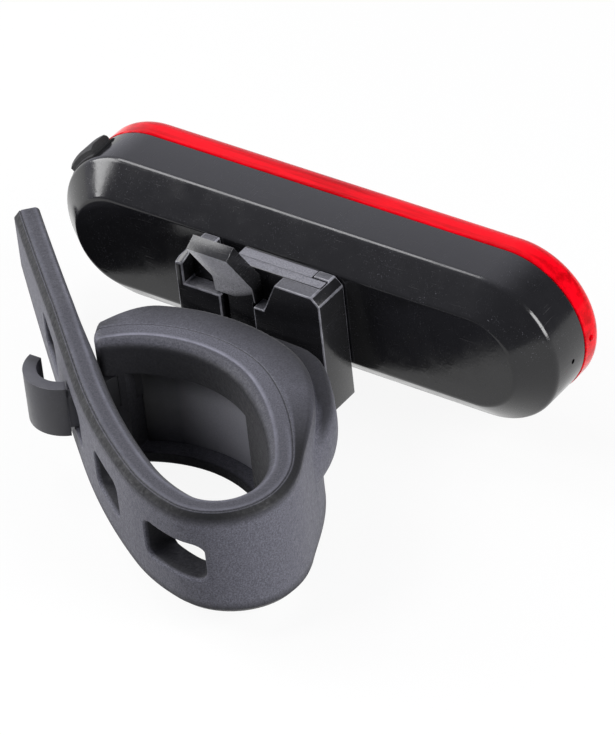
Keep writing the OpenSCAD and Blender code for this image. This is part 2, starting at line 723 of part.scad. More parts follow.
// Rubber collar that swells from the pad's back to the receiver, with sloping edges
module collar() {
    w = receiver_w / 2;
    right = [[w - 2.7, 0], [w + 1.2, 1.5], [w + 3.5, 3.4], [w + 6.4, 6.5], [w + 9.4, 10.2],
             [w + 11.3, 13.6], [w + 12.6, 17.2], [w + 13.4, 21], [w + 13.7, 24.2], [w + 11, 22.5],
             [w + 7, 16.5], [w + 4.3, 14.7]];
    left = [[0.7 - w, 13.2], [-w - 1.3, 11.7], [-w - 3.3, 7.5], [-w - 3, 3.4], [-w - 1.2, 1.5],
            [2.7 - w, 0]];
    middle = [0, 11];
    layers = [[-5.4, 0.5], [-4.6, 0.92], [-3, 1], [3, 1], [4.6, 0.92], [5.4, 0.5]];
    swept([for (layer = layers)
        [for (q = concat(right, left))
            let (o = middle + (q - middle) * layer[1]) [o[0], receiver_y - o[1], layer[0]]]]);
}

// Round-cornered slot through the strap at distance s, clear of the pad where the tail passes it
module strap_slot(s) {
    p = pose(s);
    inside = edge_cut + (s > tail_start ? 0.2 : 2.4);
    translate([p[0], p[1], 0]) rotate([0, 0, p[2]]) rotate([-90, 0, 0])
        translate([0, 0, -inside]) linear_extrude(2 * strap_t + inside) polygon(slot_outline);
}

rear_housing();
lens();
lens_gasket();
reflector_tray();
led_board();
leds();
driver_chips();
usb_socket();
usb_tongue();
tact_switch();
battery_cell();
protection_board();
battery_foam();
battery_lead_red();
battery_lead_black();
board_screws();
power_button();
port_cover();
receiver();
release_latch();
saddle_hook();
rubber_strap();
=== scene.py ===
"""Looks of a strap-on bicycle rear light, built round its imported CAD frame.

Sizes are in millimetres in the CAD frame (+Z up along the seat post, +Y the way the lens faces,
origin on the post's axis) and become metres where a mesh is made.
"""

import logging
import math
from dataclasses import dataclass, field
from enum import Enum
from functools import partial, reduce
from typing import Iterable, Sequence

import bmesh
import bpy
from mathutils import Matrix, Vector
from mathutils.kdtree import KDTree

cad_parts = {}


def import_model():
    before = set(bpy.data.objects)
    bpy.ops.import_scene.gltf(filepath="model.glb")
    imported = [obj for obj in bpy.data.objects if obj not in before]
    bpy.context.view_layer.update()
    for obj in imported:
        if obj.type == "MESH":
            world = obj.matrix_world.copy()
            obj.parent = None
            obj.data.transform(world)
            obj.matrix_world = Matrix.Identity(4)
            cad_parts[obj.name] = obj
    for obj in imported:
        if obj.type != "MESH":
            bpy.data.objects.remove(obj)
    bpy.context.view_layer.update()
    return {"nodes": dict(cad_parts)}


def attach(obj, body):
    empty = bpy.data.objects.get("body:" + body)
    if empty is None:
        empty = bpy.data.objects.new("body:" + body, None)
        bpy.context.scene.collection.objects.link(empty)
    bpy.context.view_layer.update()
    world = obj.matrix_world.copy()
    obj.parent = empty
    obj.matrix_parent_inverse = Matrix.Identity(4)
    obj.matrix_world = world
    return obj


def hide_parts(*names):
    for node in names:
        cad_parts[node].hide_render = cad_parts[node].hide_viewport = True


LOG = logging.getLogger("rear_light")
MM = 0.001
WHITE = (1.0, 1.0, 1.0)
WELD = 1e-6
FLAT_ANGLE = 0.6
EDGE_ANGLE = 35.0
SMOOTH_ANGLE = 40.0
CRISP_ANGLE = 30.0
Point2 = tuple[float, float]
Point3 = tuple[float, float, float]
Colour = tuple[float, float, float]
Socket = bpy.types.NodeSocket
Item = bpy.types.Object
Material = bpy.types.Material
BMesh = bmesh.types.BMesh


class Body(Enum):
    """The CAD bodies that pieces ride on."""

    BRACKET = "bracket"
    HEAD = "head"
    LATCH = "latch"
    BUTTON = "button"
    COVER = "cover"


class NodeSheet:
    """Adds and joins the nodes of one tree in few words."""

    def __init__(self, tree: bpy.types.NodeTree) -> None:
        """Keeps the tree that is filled."""
        self.tree = tree

    def add(
        self, kind: str, inputs: dict[str | int, object] | None = None, **values: object
    ) -> bpy.types.Node:
        """Makes a node.

        Args:
            kind: Blender's name of the node type.
            inputs: a socket to join or a constant for each input, by name or place.
            values: properties of the node.

        Returns:
            The new node.
        """
        node = self.tree.nodes.new(kind)
        for key, value in values.items():
            setattr(node, key, value)
        for key, value in (inputs or {}).items():
            socket = node.inputs[key]
            if isinstance(value, Socket):
                self.join(value, socket)
            else:
                socket.default_value = (*value, 1.0) if socket.type == "RGBA" else value
        return node

    def join(self, source: Socket, target: Socket) -> None:
        """Links an output to an input."""
        self.tree.links.new(source, target)

    def reckon(self, operation: str, *values: Socket | float) -> Socket:
        """One step of arithmetic."""
        return self.add("ShaderNodeMath", dict(enumerate(values)), operation=operation).outputs[0]

    def times(self, *values: Socket) -> Socket:
        """Product of several values."""
        return reduce(partial(self.reckon, "MULTIPLY"), values)

    def plus(self, *values: Socket) -> Socket:
        """Sum of several values."""
        return reduce(partial(self.reckon, "ADD"), values)

    def most(self, *values: Socket) -> Socket:
        """Largest of several values."""
        return reduce(partial(self.reckon, "MAXIMUM"), values)

    def vector(self, x: Socket | float, y: Socket | float, z: Socket | float) -> Socket:
        """Joins three values into a vector."""
        return self.add("ShaderNodeCombineXYZ", {0: x, 1: y, 2: z}).outputs[0]

    def parts(self, vector: Socket) -> list[Socket]:
        """Splits a vector into its three values."""
        return list(self.add("ShaderNodeSeparateXYZ", {0: vector}).outputs)

    def spread(
        self,
        value: Socket,
        low: float,
        high: float,
        to_low: float = 0.0,
        to_high: float | Socket = 1.0,
        kind: str = "LINEAR",
    ) -> Socket:
        """Maps a range of values to another.

        Args:
            value: the socket to map.
            low: value that becomes to_low.
            high: value that becomes to_high.
            to_low: result at low.
            to_high: result at high.
            kind: Blender's name of the way between them.

        Returns:
            The mapped socket.
        """
        ends = {"From Min": low, "From Max": high, "To Min": to_low, "To Max": to_high}
        node = self.add("ShaderNodeMapRange", {"Value": value, **ends}, interpolation_type=kind)
        return node.outputs["Result"]

    def band(self, value: Socket, rise: Point2, fall: Point2, top: float = 1.0) -> Socket:
        """Share that rises to its top over one range of a value and falls over another."""
        return self.times(self.spread(value, *rise, 0.0, top), self.spread(value, *fall, 1.0, 0.0))


class MaterialSheet(NodeSheet):
    """Nodes of one material, with the patterns that finishes share."""

    def __init__(self, name: str) -> None:
        """Starts an empty node material.

        Args:
            name: name of the material.
        """
        self.material = bpy.data.materials.new(name)
        self.material.use_nodes = True
        super().__init__(self.material.node_tree)
        self.tree.nodes.clear()
        self.output = self.add("ShaderNodeOutputMaterial")
        places = self.add("ShaderNodeTexCoord")
        self.coord, self.normal = places.outputs["Object"], places.outputs["Normal"]

    def stretched(self, scale: Point3, turn: float = 0.0) -> Socket:
        """Object coordinates with a scale of their own on each axis.

        Args:
            scale: scale along x, y and z.
            turn: turn about the z axis in degrees.

        Returns:
            The mapped coordinates.
        """
        rotation = (0.0, 0.0, math.radians(turn))
        inputs = {"Vector": self.coord, "Scale": scale, "Rotation": rotation}
        return self.add("ShaderNodeMapping", inputs).outputs["Vector"]

    def noise(
        self, scale: float, detail: float = 3.0, rough: float = 0.5, coord: Socket | None = None
    ) -> Socket:
        """A noise pattern, with its scale in features per metre."""
        inputs = {"Vector": coord or self.coord, "Scale": scale, "Detail": detail, "Roughness": rough}
        return self.add("ShaderNodeTexNoise", inputs).outputs["Fac"]

    def blend(self, amount: Socket, first: Socket | Colour, second: Socket | Colour) -> Socket:
        """Mixes two colours by the share of the second."""
        return self.add("ShaderNodeMix", {0: amount, 6: first, 7: second}, data_type="RGBA").outputs[2]

    def bump(self, height: Socket, strength: float, depth_mm: float) -> Socket:
        """Turns a height into a bent normal; a unit of height is depth_mm deep."""
        inputs = {"Height": height, "Strength": strength, "Distance": depth_mm * MM}
        return self.add("ShaderNodeBump", inputs).outputs["Normal"]

    def attribute(self, name: str) -> bpy.types.NodeOutputs:
        """Outputs of a node that reads an attribute of the mesh."""
        return self.add("ShaderNodeAttribute", attribute_name=name).outputs

    def surface(self, inputs: dict[str, object]) -> Material:
        """Ends the material with a principled shader.

        Args:
            inputs: a socket or a constant for each input of the shader.

        Returns:
            The material.
        """
        shader = self.add("ShaderNodeBsdfPrincipled", inputs)
        self.join(shader.outputs["BSDF"], self.output.inputs["Surface"])
        return self.material


def scaled(colour: Colour, factor: float) -> Colour:
    """A colour made darker or paler, up to white."""
    return tuple(min(1.0, c * factor) for c in colour)


@dataclass(frozen=True)
class PlasticFinish:
    """Moulded plastic with fine scratches and dust; some finishes add painted light: a pale film on faces
    of one direction, pale edges that are partly painted highlight, and painted shade in a corner.
    """

    name: str
    colour: Colour
    rough: Point2
    dust: float = 0.2
    dust_and_painted_light_colour: Colour = (0.3, 0.3, 0.34)
    grain: float = 0.02
    # Pale film on faces of one direction: painted light, with dust on upward faces.
    dust_and_painted_light: float = 0.0
    film_facing: Point3 = (0.0, 0.0, 1.0)
    film_from: float = 0.94
    film_span: Point2 = (-1.0, 1.0)
    film_mottle: float = 0.45
    # Pale edges: partly wear, partly painted highlight.
    worn_and_highlit: float = 0.0
    # Painted shade: darker at the left within the loop.
    corner_shade: float = 0.0

    def material(self) -> Material:
        """Builds the node material.

        Returns:
            The material.
        """
        sheet = MaterialSheet(self.name)
        specks = sheet.spread(sheet.noise(5200.0, 1.0), 0.68, 0.76)
        patches = sheet.spread(sheet.noise(160.0), 0.42, 0.7, 0.0, self.dust)
        tint = sheet.spread(sheet.noise(420.0, 4.0), 0.3, 0.7, 0.0, 0.35)
        shaded = sheet.blend(tint, self.colour, scaled(self.colour, 1.5))
        colour = sheet.blend(sheet.times(specks, patches), shaded, self.dust_and_painted_light_colour)
        # Pale film: painted light on the chosen faces, with dust where they face up.
        if self.dust_and_painted_light > 0.0:
            colour = sheet.blend(self.film(sheet), colour, self.dust_and_painted_light_colour)
        # Pale edges: partly wear, partly painted highlight.
        if self.worn_and_highlit > 0.0:
            rub_and_glint = sheet.spread(sheet.noise(330.0, 3.0, 0.6), 0.35, 0.65, 0.35 * self.worn_and_highlit, self.worn_and_highlit)
            edge = sheet.times(sheet.attribute("worn_and_highlit")["Fac"], rub_and_glint)
            colour = sheet.blend(edge, colour, self.dust_and_painted_light_colour)
        # Painted shade: darker colour at the left within the loop.
        if self.corner_shade > 0.0:
            colour = sheet.blend(self.corner(sheet), colour, scaled(self.colour, 0.15))
        smear = sheet.spread(sheet.noise(210.0, 4.0, 0.6), 0.3, 0.72, *self.rough)
        fine = sheet.noise(3.0, 2.0, coord=sheet.stretched((1500.0, 60.0, 900.0), 24.0))
        cross = sheet.noise(3.0, 2.0, coord=sheet.stretched((70.0, 1300.0, 1100.0), -31.0))
        lines = sheet.plus(
            sheet.spread(fine, 0.66, 0.74, 0.0, 0.18), sheet.spread(cross, 0.67, 0.75, 0.0, 0.18)
        )
        inputs = {"Base Color": colour, "Roughness": sheet.plus(smear, lines), "IOR": 1.5}
        inputs["Normal"] = sheet.bump(sheet.noise(1800.0), 0.5, self.grain)
        return sheet.surface(inputs)

    def film(self, sheet: MaterialSheet) -> Socket:
        """Share of a pale film on faces of one direction, within a span along Y: painted light, mixed with
        dust on upward faces.

        Args:
            sheet: the material's nodes.

        Returns:
            The share.
        """
        inputs = {0: sheet.normal, 1: self.film_facing}
        turn = sheet.add("ShaderNodeVectorMath", inputs, operation="DOT_PRODUCT").outputs["Value"]
        flat = sheet.spread(turn, self.film_from, 0.985, 0.0, self.dust_and_painted_light)
        low, high = self.film_span
        near = sheet.band(sheet.parts(sheet.coord)[1], (low - MM, low), (high, high + 0.2 * MM))
        film_mottle = sheet.spread(sheet.noise(3800.0, 4.0, 0.65), 0.34, 0.62, self.film_mottle)
        return sheet.times(flat, near, film_mottle)

    def corner(self, sheet: MaterialSheet) -> Socket:
        """Share of painted shade at the left, within the loop, where the loop's shade falls.

        Args:
            sheet: the material's nodes.

        Returns:
            The share.
        """
        x, y, _ = sheet.parts(sheet.coord)
        left = sheet.spread(x, -8.5 * MM, -12.5 * MM, 0.0, self.corner_shade)
        return sheet.times(left, sheet.spread(y, 3.5 * MM, 5.5 * MM))


@dataclass(frozen=True)
class RubberFinish:
    """Matte rubber with a fine speckled grain; a sectioned piece has painted shade in its creases, walls
    and slopes and on its rim's top, and pale rim edges that are partly wear, partly painted highlight.
    """

    name: str
    dark: Colour
    light: Colour
    rough: Point2 = (0.5, 0.75)
    speck: float = 0.4
    grain: float = 0.06
    sheen: float = 0.0
    sectioned: bool = False

    def material(self) -> Material:
        """Builds the node material.

        Returns:
            The material.
        """
        sheet = MaterialSheet(self.name)
        mottle = sheet.spread(sheet.noise(3700.0, 3.0, 0.65), 0.34, 0.66)
        ground = sheet.blend(mottle, self.dark, self.light)
        specks = sheet.spread(sheet.noise(5200.0, 2.0, 0.6), 0.6, 0.72, 0.0, self.speck)
        bloom = sheet.spread(sheet.noise(95.0), 0.35, 0.7, 0.3)
        pale = scaled(self.light, 2.2)
        colour = sheet.blend(sheet.times(specks, bloom), ground, pale)
        # Pale rim edges, partly painted highlight, and painted shade in creases, walls, slopes and on the
        # rim's top.
        if self.sectioned:
            rubbed_and_highlit, shadow = self.marks(sheet)
            colour = sheet.blend(rubbed_and_highlit, colour, pale)
            colour = sheet.blend(shadow, colour, scaled(self.dark, 0.1))
        cells = sheet.add("ShaderNodeTexVoronoi", {"Vector": sheet.coord, "Scale": 1700.0})
        pits = sheet.plus(sheet.noise(3100.0, 4.0, 0.7), cells.outputs["Distance"])
        return sheet.surface({
            "Base Color": colour,
            "Roughness": sheet.spread(sheet.noise(1300.0), 0.3, 0.7, *self.rough),
            "Normal": sheet.bump(pits, 0.6, self.grain),
            "Specular IOR Level": 0.3,
            "Sheen Weight": self.sheen,
            "Sheen Roughness": 0.4,
        })

    def marks(self, sheet: MaterialSheet) -> tuple[Socket, Socket]:
        """Wear, painted highlights and painted shade from the section attribute, whose lengths are in
        millimetres.

        It holds the pad's share, the offset outwards, the depth below the rim and the inset from
        the outer face.

        Args:
            sheet: the material's nodes.

        Returns:
            Paleness of the rim edges, partly wear and partly painted highlight, and painted shade in
            creases, walls, slopes and on the rim's top.
        """
        section = sheet.attribute("section")
        pad, n, depth = sheet.parts(section["Vector"])
        inset = section["Alpha"]
        from_inner = sheet.reckon("MULTIPLY_ADD", pad, -0.9, n)
        from_rim = sheet.reckon("SUBTRACT", n, pad)
        strap_only = sheet.spread(pad, 0.0, 0.4, 1.0, 0.0)
        # Pale rim edges: partly wear, partly painted highlight.
        inner = sheet.band(from_inner, (-0.1, 0.1), (0.25, 0.8), 0.75)
        outer = sheet.times(sheet.band(n, (1.9, 2.5), (2.6, 2.75), 0.5), strap_only)
        worn_and_highlit = sheet.spread(sheet.noise(240.0, 3.0, 0.6), 0.35, 0.65, 0.5)
        rubbed_and_highlit = sheet.times(sheet.plus(inner, outer), sheet.spread(depth, 0.1, 0.4, 1.0, 0.0), worn_and_highlit)
        # Painted shade: below the crease, on the lining, wall and collar, along the crease line, on the
        # shoulder, slope and rim top.
        edge = sheet.times(
            sheet.band(depth, (0.04, 0.24), (0.9, 2.6)),
            sheet.spread(n, 2.4, 3.0),
            sheet.spread(pad, 0.1, 0.9, 1.0, 0.3),
        )
        lining = sheet.times(sheet.spread(n, 0.05, -1.0, 0.0, 0.92), sheet.spread(depth, 0.0, 0.3))
        wall = sheet.times(sheet.spread(inset, 0.2, 0.8, 0.0, 0.9), sheet.spread(depth, 2.4, 3.4))
        collar = sheet.times(sheet.spread(inset, -0.2, -1.2, 0.0, 0.8), sheet.spread(depth, 7.5, 5.6))
        line = sheet.band(from_rim, (2.68, 2.82), (2.92, 3.06))
        crease = sheet.times(line, sheet.spread(depth, 1.6, 2.2, 0.9, 0.0))
        behind = sheet.plus(
            sheet.spread(from_rim, 2.95, 3.3, 0.0, 0.42), sheet.spread(from_rim, 3.5, 9.0, 0.0, 0.4)
        )
        shoulder = sheet.times(behind, pad, sheet.spread(depth, 3.5, 4.5, 1.0, 0.0))
        slope = sheet.spread(from_inner, -0.05, -0.2, 0.0, 0.5)
        top = sheet.times(sheet.spread(depth, 0.1, 0.3, 1.0, 0.0), sheet.spread(pad, 0.0, 1.0, 0.55, 0.2))
        return rubbed_and_highlit, sheet.most(edge, lining, wall, collar, crease, shoulder, slope, top)


@dataclass(frozen=True)
class LensFinish:
    """Clear coloured plastic with streaks, clearest on the face that looks ahead."""

    name: str
    colour: Colour
    deep: Colour
    shine: Colour

    def material(self) -> Material:
        """Builds the node material.

        Returns:
            The material.
        """
        sheet = MaterialSheet(self.name)
        streaks = sheet.noise(3.0, 4.0, 0.6, sheet.stretched((14.0, 190.0, 190.0)))
        ahead = sheet.parts(sheet.normal)[1]
        return sheet.surface({
            "Base Color": sheet.blend(sheet.spread(streaks, 0.42, 0.66), self.colour, self.deep),
            "Roughness": sheet.spread(sheet.noise(300.0, 4.0, 0.6), 0.35, 0.75, 0.02, 0.1),
            "Normal": sheet.bump(sheet.noise(260.0, 2.0), 0.25, 0.03),
            "Transmission Weight": sheet.spread(ahead, 0.8, 0.97, 0.3, 0.85),
            "IOR": 1.49,
            "Specular IOR Level": 0.05,
            "Specular Tint": self.shine,
        })


@dataclass(frozen=True)
class MetalFinish:
    """Plated or foil metal."""

    name: str
    colour: Colour
    rough: Point2
    crinkle: float = 0.01

    def material(self) -> Material:
        """Builds the node material.

        Returns:
            The material.
        """
        sheet = MaterialSheet(self.name)
        dull = sheet.spread(sheet.noise(500.0, 4.0), 0.3, 0.7, 0.0, 0.5)
        return sheet.surface({
            "Base Color": sheet.blend(dull, self.colour, scaled(self.colour, 0.7)),
            "Roughness": sheet.spread(sheet.noise(900.0), 0.3, 0.7, *self.rough),
            "Normal": sheet.bump(sheet.noise(420.0, 4.0), 0.6, self.crinkle),
            "Metallic": 1.0,
        })


@dataclass(frozen=True)
class BoardFinish:
    """Solder mask over copper tracks."""

    name: str
    mask: Colour
    track: Colour

    def material(self) -> Material:
        """Builds the node material.

        Returns:
            The material.
        """
        sheet = MaterialSheet(self.name)
        inputs = {"Vector": sheet.coord, "Scale": 160.0, "Mortar Size": 0.035}
        weave = sheet.add("ShaderNodeTexBrick", inputs, offset=0.37, squash=1.6).outputs["Fac"]
        mottle = sheet.spread(sheet.noise(1200.0), 0.3, 0.7, 0.0, 0.3)
        ground = sheet.blend(mottle, self.mask, scaled(self.mask, 0.6))
        return sheet.surface({
            "Base Color": sheet.blend(weave, ground, self.track),
            "Roughness": sheet.spread(sheet.noise(700.0, 2.0), 0.3, 0.7, 0.25, 0.4),
            "Normal": sheet.bump(weave, 0.4, 0.03),
        })


class Look(Enum):
    """Every finish of the light."""

    # The pale film on upward faces of the gloss and moulded finishes is dust and painted highlight; the
    # moulded finish's pale edges are partly wear, partly painted highlight.
    GLOSS = PlasticFinish(
        "gloss_black_plastic", (0.006, 0.006, 0.007), (0.1, 0.24), 0.3, dust_and_painted_light=0.65,
        film_span=(-1.0, 0.0372),
    )
    MOULDED = PlasticFinish(
        "moulded_black_plastic", (0.008, 0.008, 0.009), (0.12, 0.26), 0.3, dust_and_painted_light=0.28, worn_and_highlit=0.7
    )
    # The lever's pale film on its front-down face is a painted reflection; its pale edges are partly wear,
    # partly painted highlight.
    LEVER = PlasticFinish(
        "lever_black_plastic_painted_reflection", (0.008, 0.008, 0.009), (0.16, 0.3), 0.3, (0.74, 0.74, 0.79),
        dust_and_painted_light=0.95, film_facing=(0.0, -0.85, -0.53), worn_and_highlit=0.3,
    )
    # The saddle's pale film on faces towards the front left is painted light on its lit side; its darker
    # left corner within the loop is painted shade.
    SATIN = PlasticFinish(
        "satin_black_plastic", (0.044, 0.044, 0.052), (0.3, 0.46), 0.2, (0.5, 0.5, 0.56), 0.03,
        dust_and_painted_light=0.5, film_facing=(-0.5, -0.866, 0.0), film_from=0.72, film_span=(0.009, 1.0),
        film_mottle=0.8, worn_and_highlit=0.3, corner_shade=0.95,
    )
    STRAP = RubberFinish(
        "charcoal_strap_rubber", (0.052, 0.052, 0.065), (0.126, 0.126, 0.155), sheen=0.1, sectioned=True
    )
    SILICONE = RubberFinish(
        "black_silicone", (0.012, 0.012, 0.013), (0.022, 0.022, 0.023), (0.45, 0.65), 0.15, 0.02
    )
    LENS = LensFinish("clear_red_plastic", (0.95, 0.002, 0.012), (0.5, 0.001, 0.004), (1.0, 0.05, 0.12))
    REFLECTOR = PlasticFinish(
        "white_reflector_plastic", (0.78, 0.78, 0.76), (0.3, 0.45), 0.05, (0.6, 0.6, 0.58)
    )
    LED_BOARD = BoardFinish("green_solder_mask", (0.015, 0.11, 0.04), (0.04, 0.2, 0.07))
    CELL_BOARD = BoardFinish("blue_solder_mask", (0.012, 0.05, 0.14), (0.03, 0.1, 0.22))
    RESIN = PlasticFinish("pale_led_resin", (0.75, 0.62, 0.25), (0.12, 0.3), 0.05, (0.9, 0.85, 0.6))
    EPOXY = PlasticFinish("moulded_epoxy", (0.014, 0.014, 0.015), (0.4, 0.6), 0.1)
    STEEL = MetalFinish("bright_plated_steel", (0.66, 0.67, 0.69), (0.16, 0.34))
    FOIL = MetalFinish("pouch_foil", (0.6, 0.62, 0.66), (0.25, 0.45), 0.06)
    FOAM = RubberFinish("foam_tape", (0.03, 0.03, 0.03), (0.06, 0.06, 0.06))
    RED_WIRE = PlasticFinish("red_wire_sleeve", (0.35, 0.008, 0.01), (0.35, 0.5), 0.05)
    BLACK_WIRE = PlasticFinish("black_wire_sleeve", (0.01, 0.01, 0.01), (0.35, 0.5), 0.05)

    @property
    def material(self) -> Material:
        """The material of this finish, made when it is first asked for."""
        return bpy.data.materials.get(self.value.name) or self.value.material()


def rounded(points: Sequence[Point2], cuts: Sequence[float], steps: int = 5) -> list[Point2]:
    """Rounds the inner corners of an open line.

    Args:
        points: corners of the line; the ends stay.
        cuts: how far the rounding starts from each corner, 0 for a sharp one.
        steps: segments of each rounding.

    Returns:
        The rounded line.
    """
    line = [points[0]]
    for i in range(1, len(points) - 1):
        if cuts[i] <= 0.0:
            line.append(points[i])
            continue
        here = Vector(points[i])
        start = here + (Vector(points[i - 1]) - here).normalized() * cuts[i]
        stop = here + (Vector(points[i + 1]) - here).normalized() * cuts[i]
        for k in range(steps + 1):
            t = k / steps
            line.append(tuple(start * (1 - t) ** 2 + here * (2 * t * (1 - t)) + stop * t * t))
    line.append(points[-1])
    return line


def circle(r: float, count: int) -> list[Point2]:
    """Points of a circle of radius r."""
    turns = [2 * math.pi * k / count for k in range(count)]
    return [(r * math.cos(t), r * math.sin(t)) for t in turns]


def oblong(half: float, r: float, steps: int) -> list[Point2]:
    """Outline with round ends.

    Args:
        half: distance of the end centres from the middle.
        r: radius of the ends.
        steps: segments of each end.

    Returns:
        The outline.
    """
    points = []
    for side in (1, -1):
        for k in range(steps + 1):
            a = math.radians(-90.0 * side + 180.0 * k / steps)
            points.append((side * half + r * math.cos(a), r * math.sin(a)))
    return points


def loft(rings: Sequence[Sequence[Point3]]) -> BMesh:
    """Skins rings of equal count and caps both ends.

    Args:
        rings: rings of points in millimetres.

    Returns:
        The mesh, with faces outwards.
    """
    bm = bmesh.new()
    rows = [[bm.verts.new(Vector(p) * MM) for p in ring] for ring in rings]
    count = len(rows[0])
    bm.faces.new(rows[0][::-1])
    bm.faces.new(rows[-1])
    for first, second in zip(rows, rows[1:]):
        for j in range(count):
            k = (j + 1) % count
            bm.faces.new((first[j], first[k], second[k], second[j]))
    bmesh.ops.recalc_face_normals(bm, faces=bm.faces)
    return bm


def box(low: Point3, high: Point3) -> BMesh:
    """A box between its lowest and highest corners, in millimetres."""
    corners = [(low[0], low[1]), (high[0], low[1]), (high[0], high[1]), (low[0], high[1])]
    return loft([[(x, y, z) for x, y in corners] for z in (low[2], high[2])])


def as_object(bm: BMesh, name: str) -> Item:
    """Turns a built mesh into an object at the origin.

    Args:
        bm: the mesh, freed here.
        name: name of the object.

    Returns:
        The new object.
    """
    mesh = bpy.data.meshes.new(name)
    bm.to_mesh(mesh)
    bm.free()
    piece = bpy.data.objects.new(name, mesh)
    bpy.context.scene.collection.objects.link(piece)
    return piece


def settle(piece: Item) -> None:
    """Makes a piece's modifiers real and removes them.

    Args:
        piece: the object with modifiers.
    """
    depsgraph = bpy.context.evaluated_depsgraph_get()
    mesh = bpy.data.meshes.new_from_object(piece.evaluated_get(depsgraph))
    old = piece.data
    piece.modifiers.clear()
    piece.data = mesh
    bpy.data.meshes.remove(old)


def shade(piece: Item, angle: float = SMOOTH_ANGLE) -> None:
    """Shades a piece smooth, with sharp edges past an angle in degrees."""
    piece.data.polygons.foreach_set("use_smooth", [True] * len(piece.data.polygons))
    piece.data.set_sharp_from_angle(angle=math.radians(angle))


def carve(piece: Item, cutters: Iterable[Item], operation: str = "DIFFERENCE") -> None:
    """Cuts or joins whole shapes and drops them.

    Args:
        piece: the object to change.
        cutters: shapes to apply, deleted here.
        operation: Blender's name of the operation.
    """
    shapes = list(cutters)
    for shape in shapes:
        step = piece.modifiers.new("carve", "BOOLEAN")
        step.operation = operation
        step.solver = "EXACT"
        step.object = shape
    settle(piece)
    for shape in shapes:
        bpy.data.objects.remove(shape)


def round_edges(piece: Item, width_mm: float, steps: int = 3) -> None:
    """Breaks the sharp edges of a piece, with faces in its last material slot.

    Args:
        piece: the object.
        width_mm: width of the rounding.
        steps: segments of the rounding.
    """
    step = piece.modifiers.new("edges", "BEVEL")
    step.width = width_mm * MM
    step.segments = steps
    step.limit_method = "ANGLE"
    step.angle_limit = math.radians(EDGE_ANGLE)
    step.harden_normals = False
    step.material = len(piece.data.materials) - 1
    settle(piece)


def softened(node: Item, name: str, width_mm: float) -> Item:
    """Copies a CAD node with its edges broken and marked for pale edges, partly wear and partly painted
    highlight.

    Args:
        node: the CAD object, left as it is.
        name: name of the copy.
        width_mm: width of the broken edges.

    Returns:
        The new piece.
    """
    bm = bmesh.new()
    bm.from_mesh(node.data)
    bmesh.ops.remove_doubles(bm, verts=bm.verts, dist=WELD)
    flat = math.radians(FLAT_ANGLE)
    bmesh.ops.dissolve_limit(bm, angle_limit=flat, verts=bm.verts, edges=bm.edges, delimit={"NORMAL"})
    piece = as_object(bm, name)
    for _ in range(2):
        piece.data.materials.append(None)
    round_edges(piece, width_mm)
    # Edge faces are marked for pale edges, partly wear and partly painted highlight.
    worn_and_highlit = piece.data.attributes.new("worn_and_highlit", "FLOAT", "FACE")
    worn_and_highlit.data.foreach_set("value", [float(face.material_index) for face in piece.data.polygons])
    shade(piece)
    return piece


def dress(piece: Item, look: Look) -> None:
    """Gives a piece its only material."""
    piece.data.materials.clear()
    piece.data.materials.append(look.material)


def seat(piece: Item, look: Look, body: Body, slot: str, *nodes: str) -> None:
    """Dresses a piece, puts it on its body and hides the nodes that it stands for.

    Args:
        piece: the object.
        look: its finish.
        body: the body that it rides on.
        slot: the record's material slot; not used.
        nodes: CAD nodes that it replaces.
    """
    dress(piece, look)
    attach(piece, body.value)
    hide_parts(*nodes)
    LOG.info("%s: %d faces on %s", piece.name, len(piece.data.polygons), body.value)


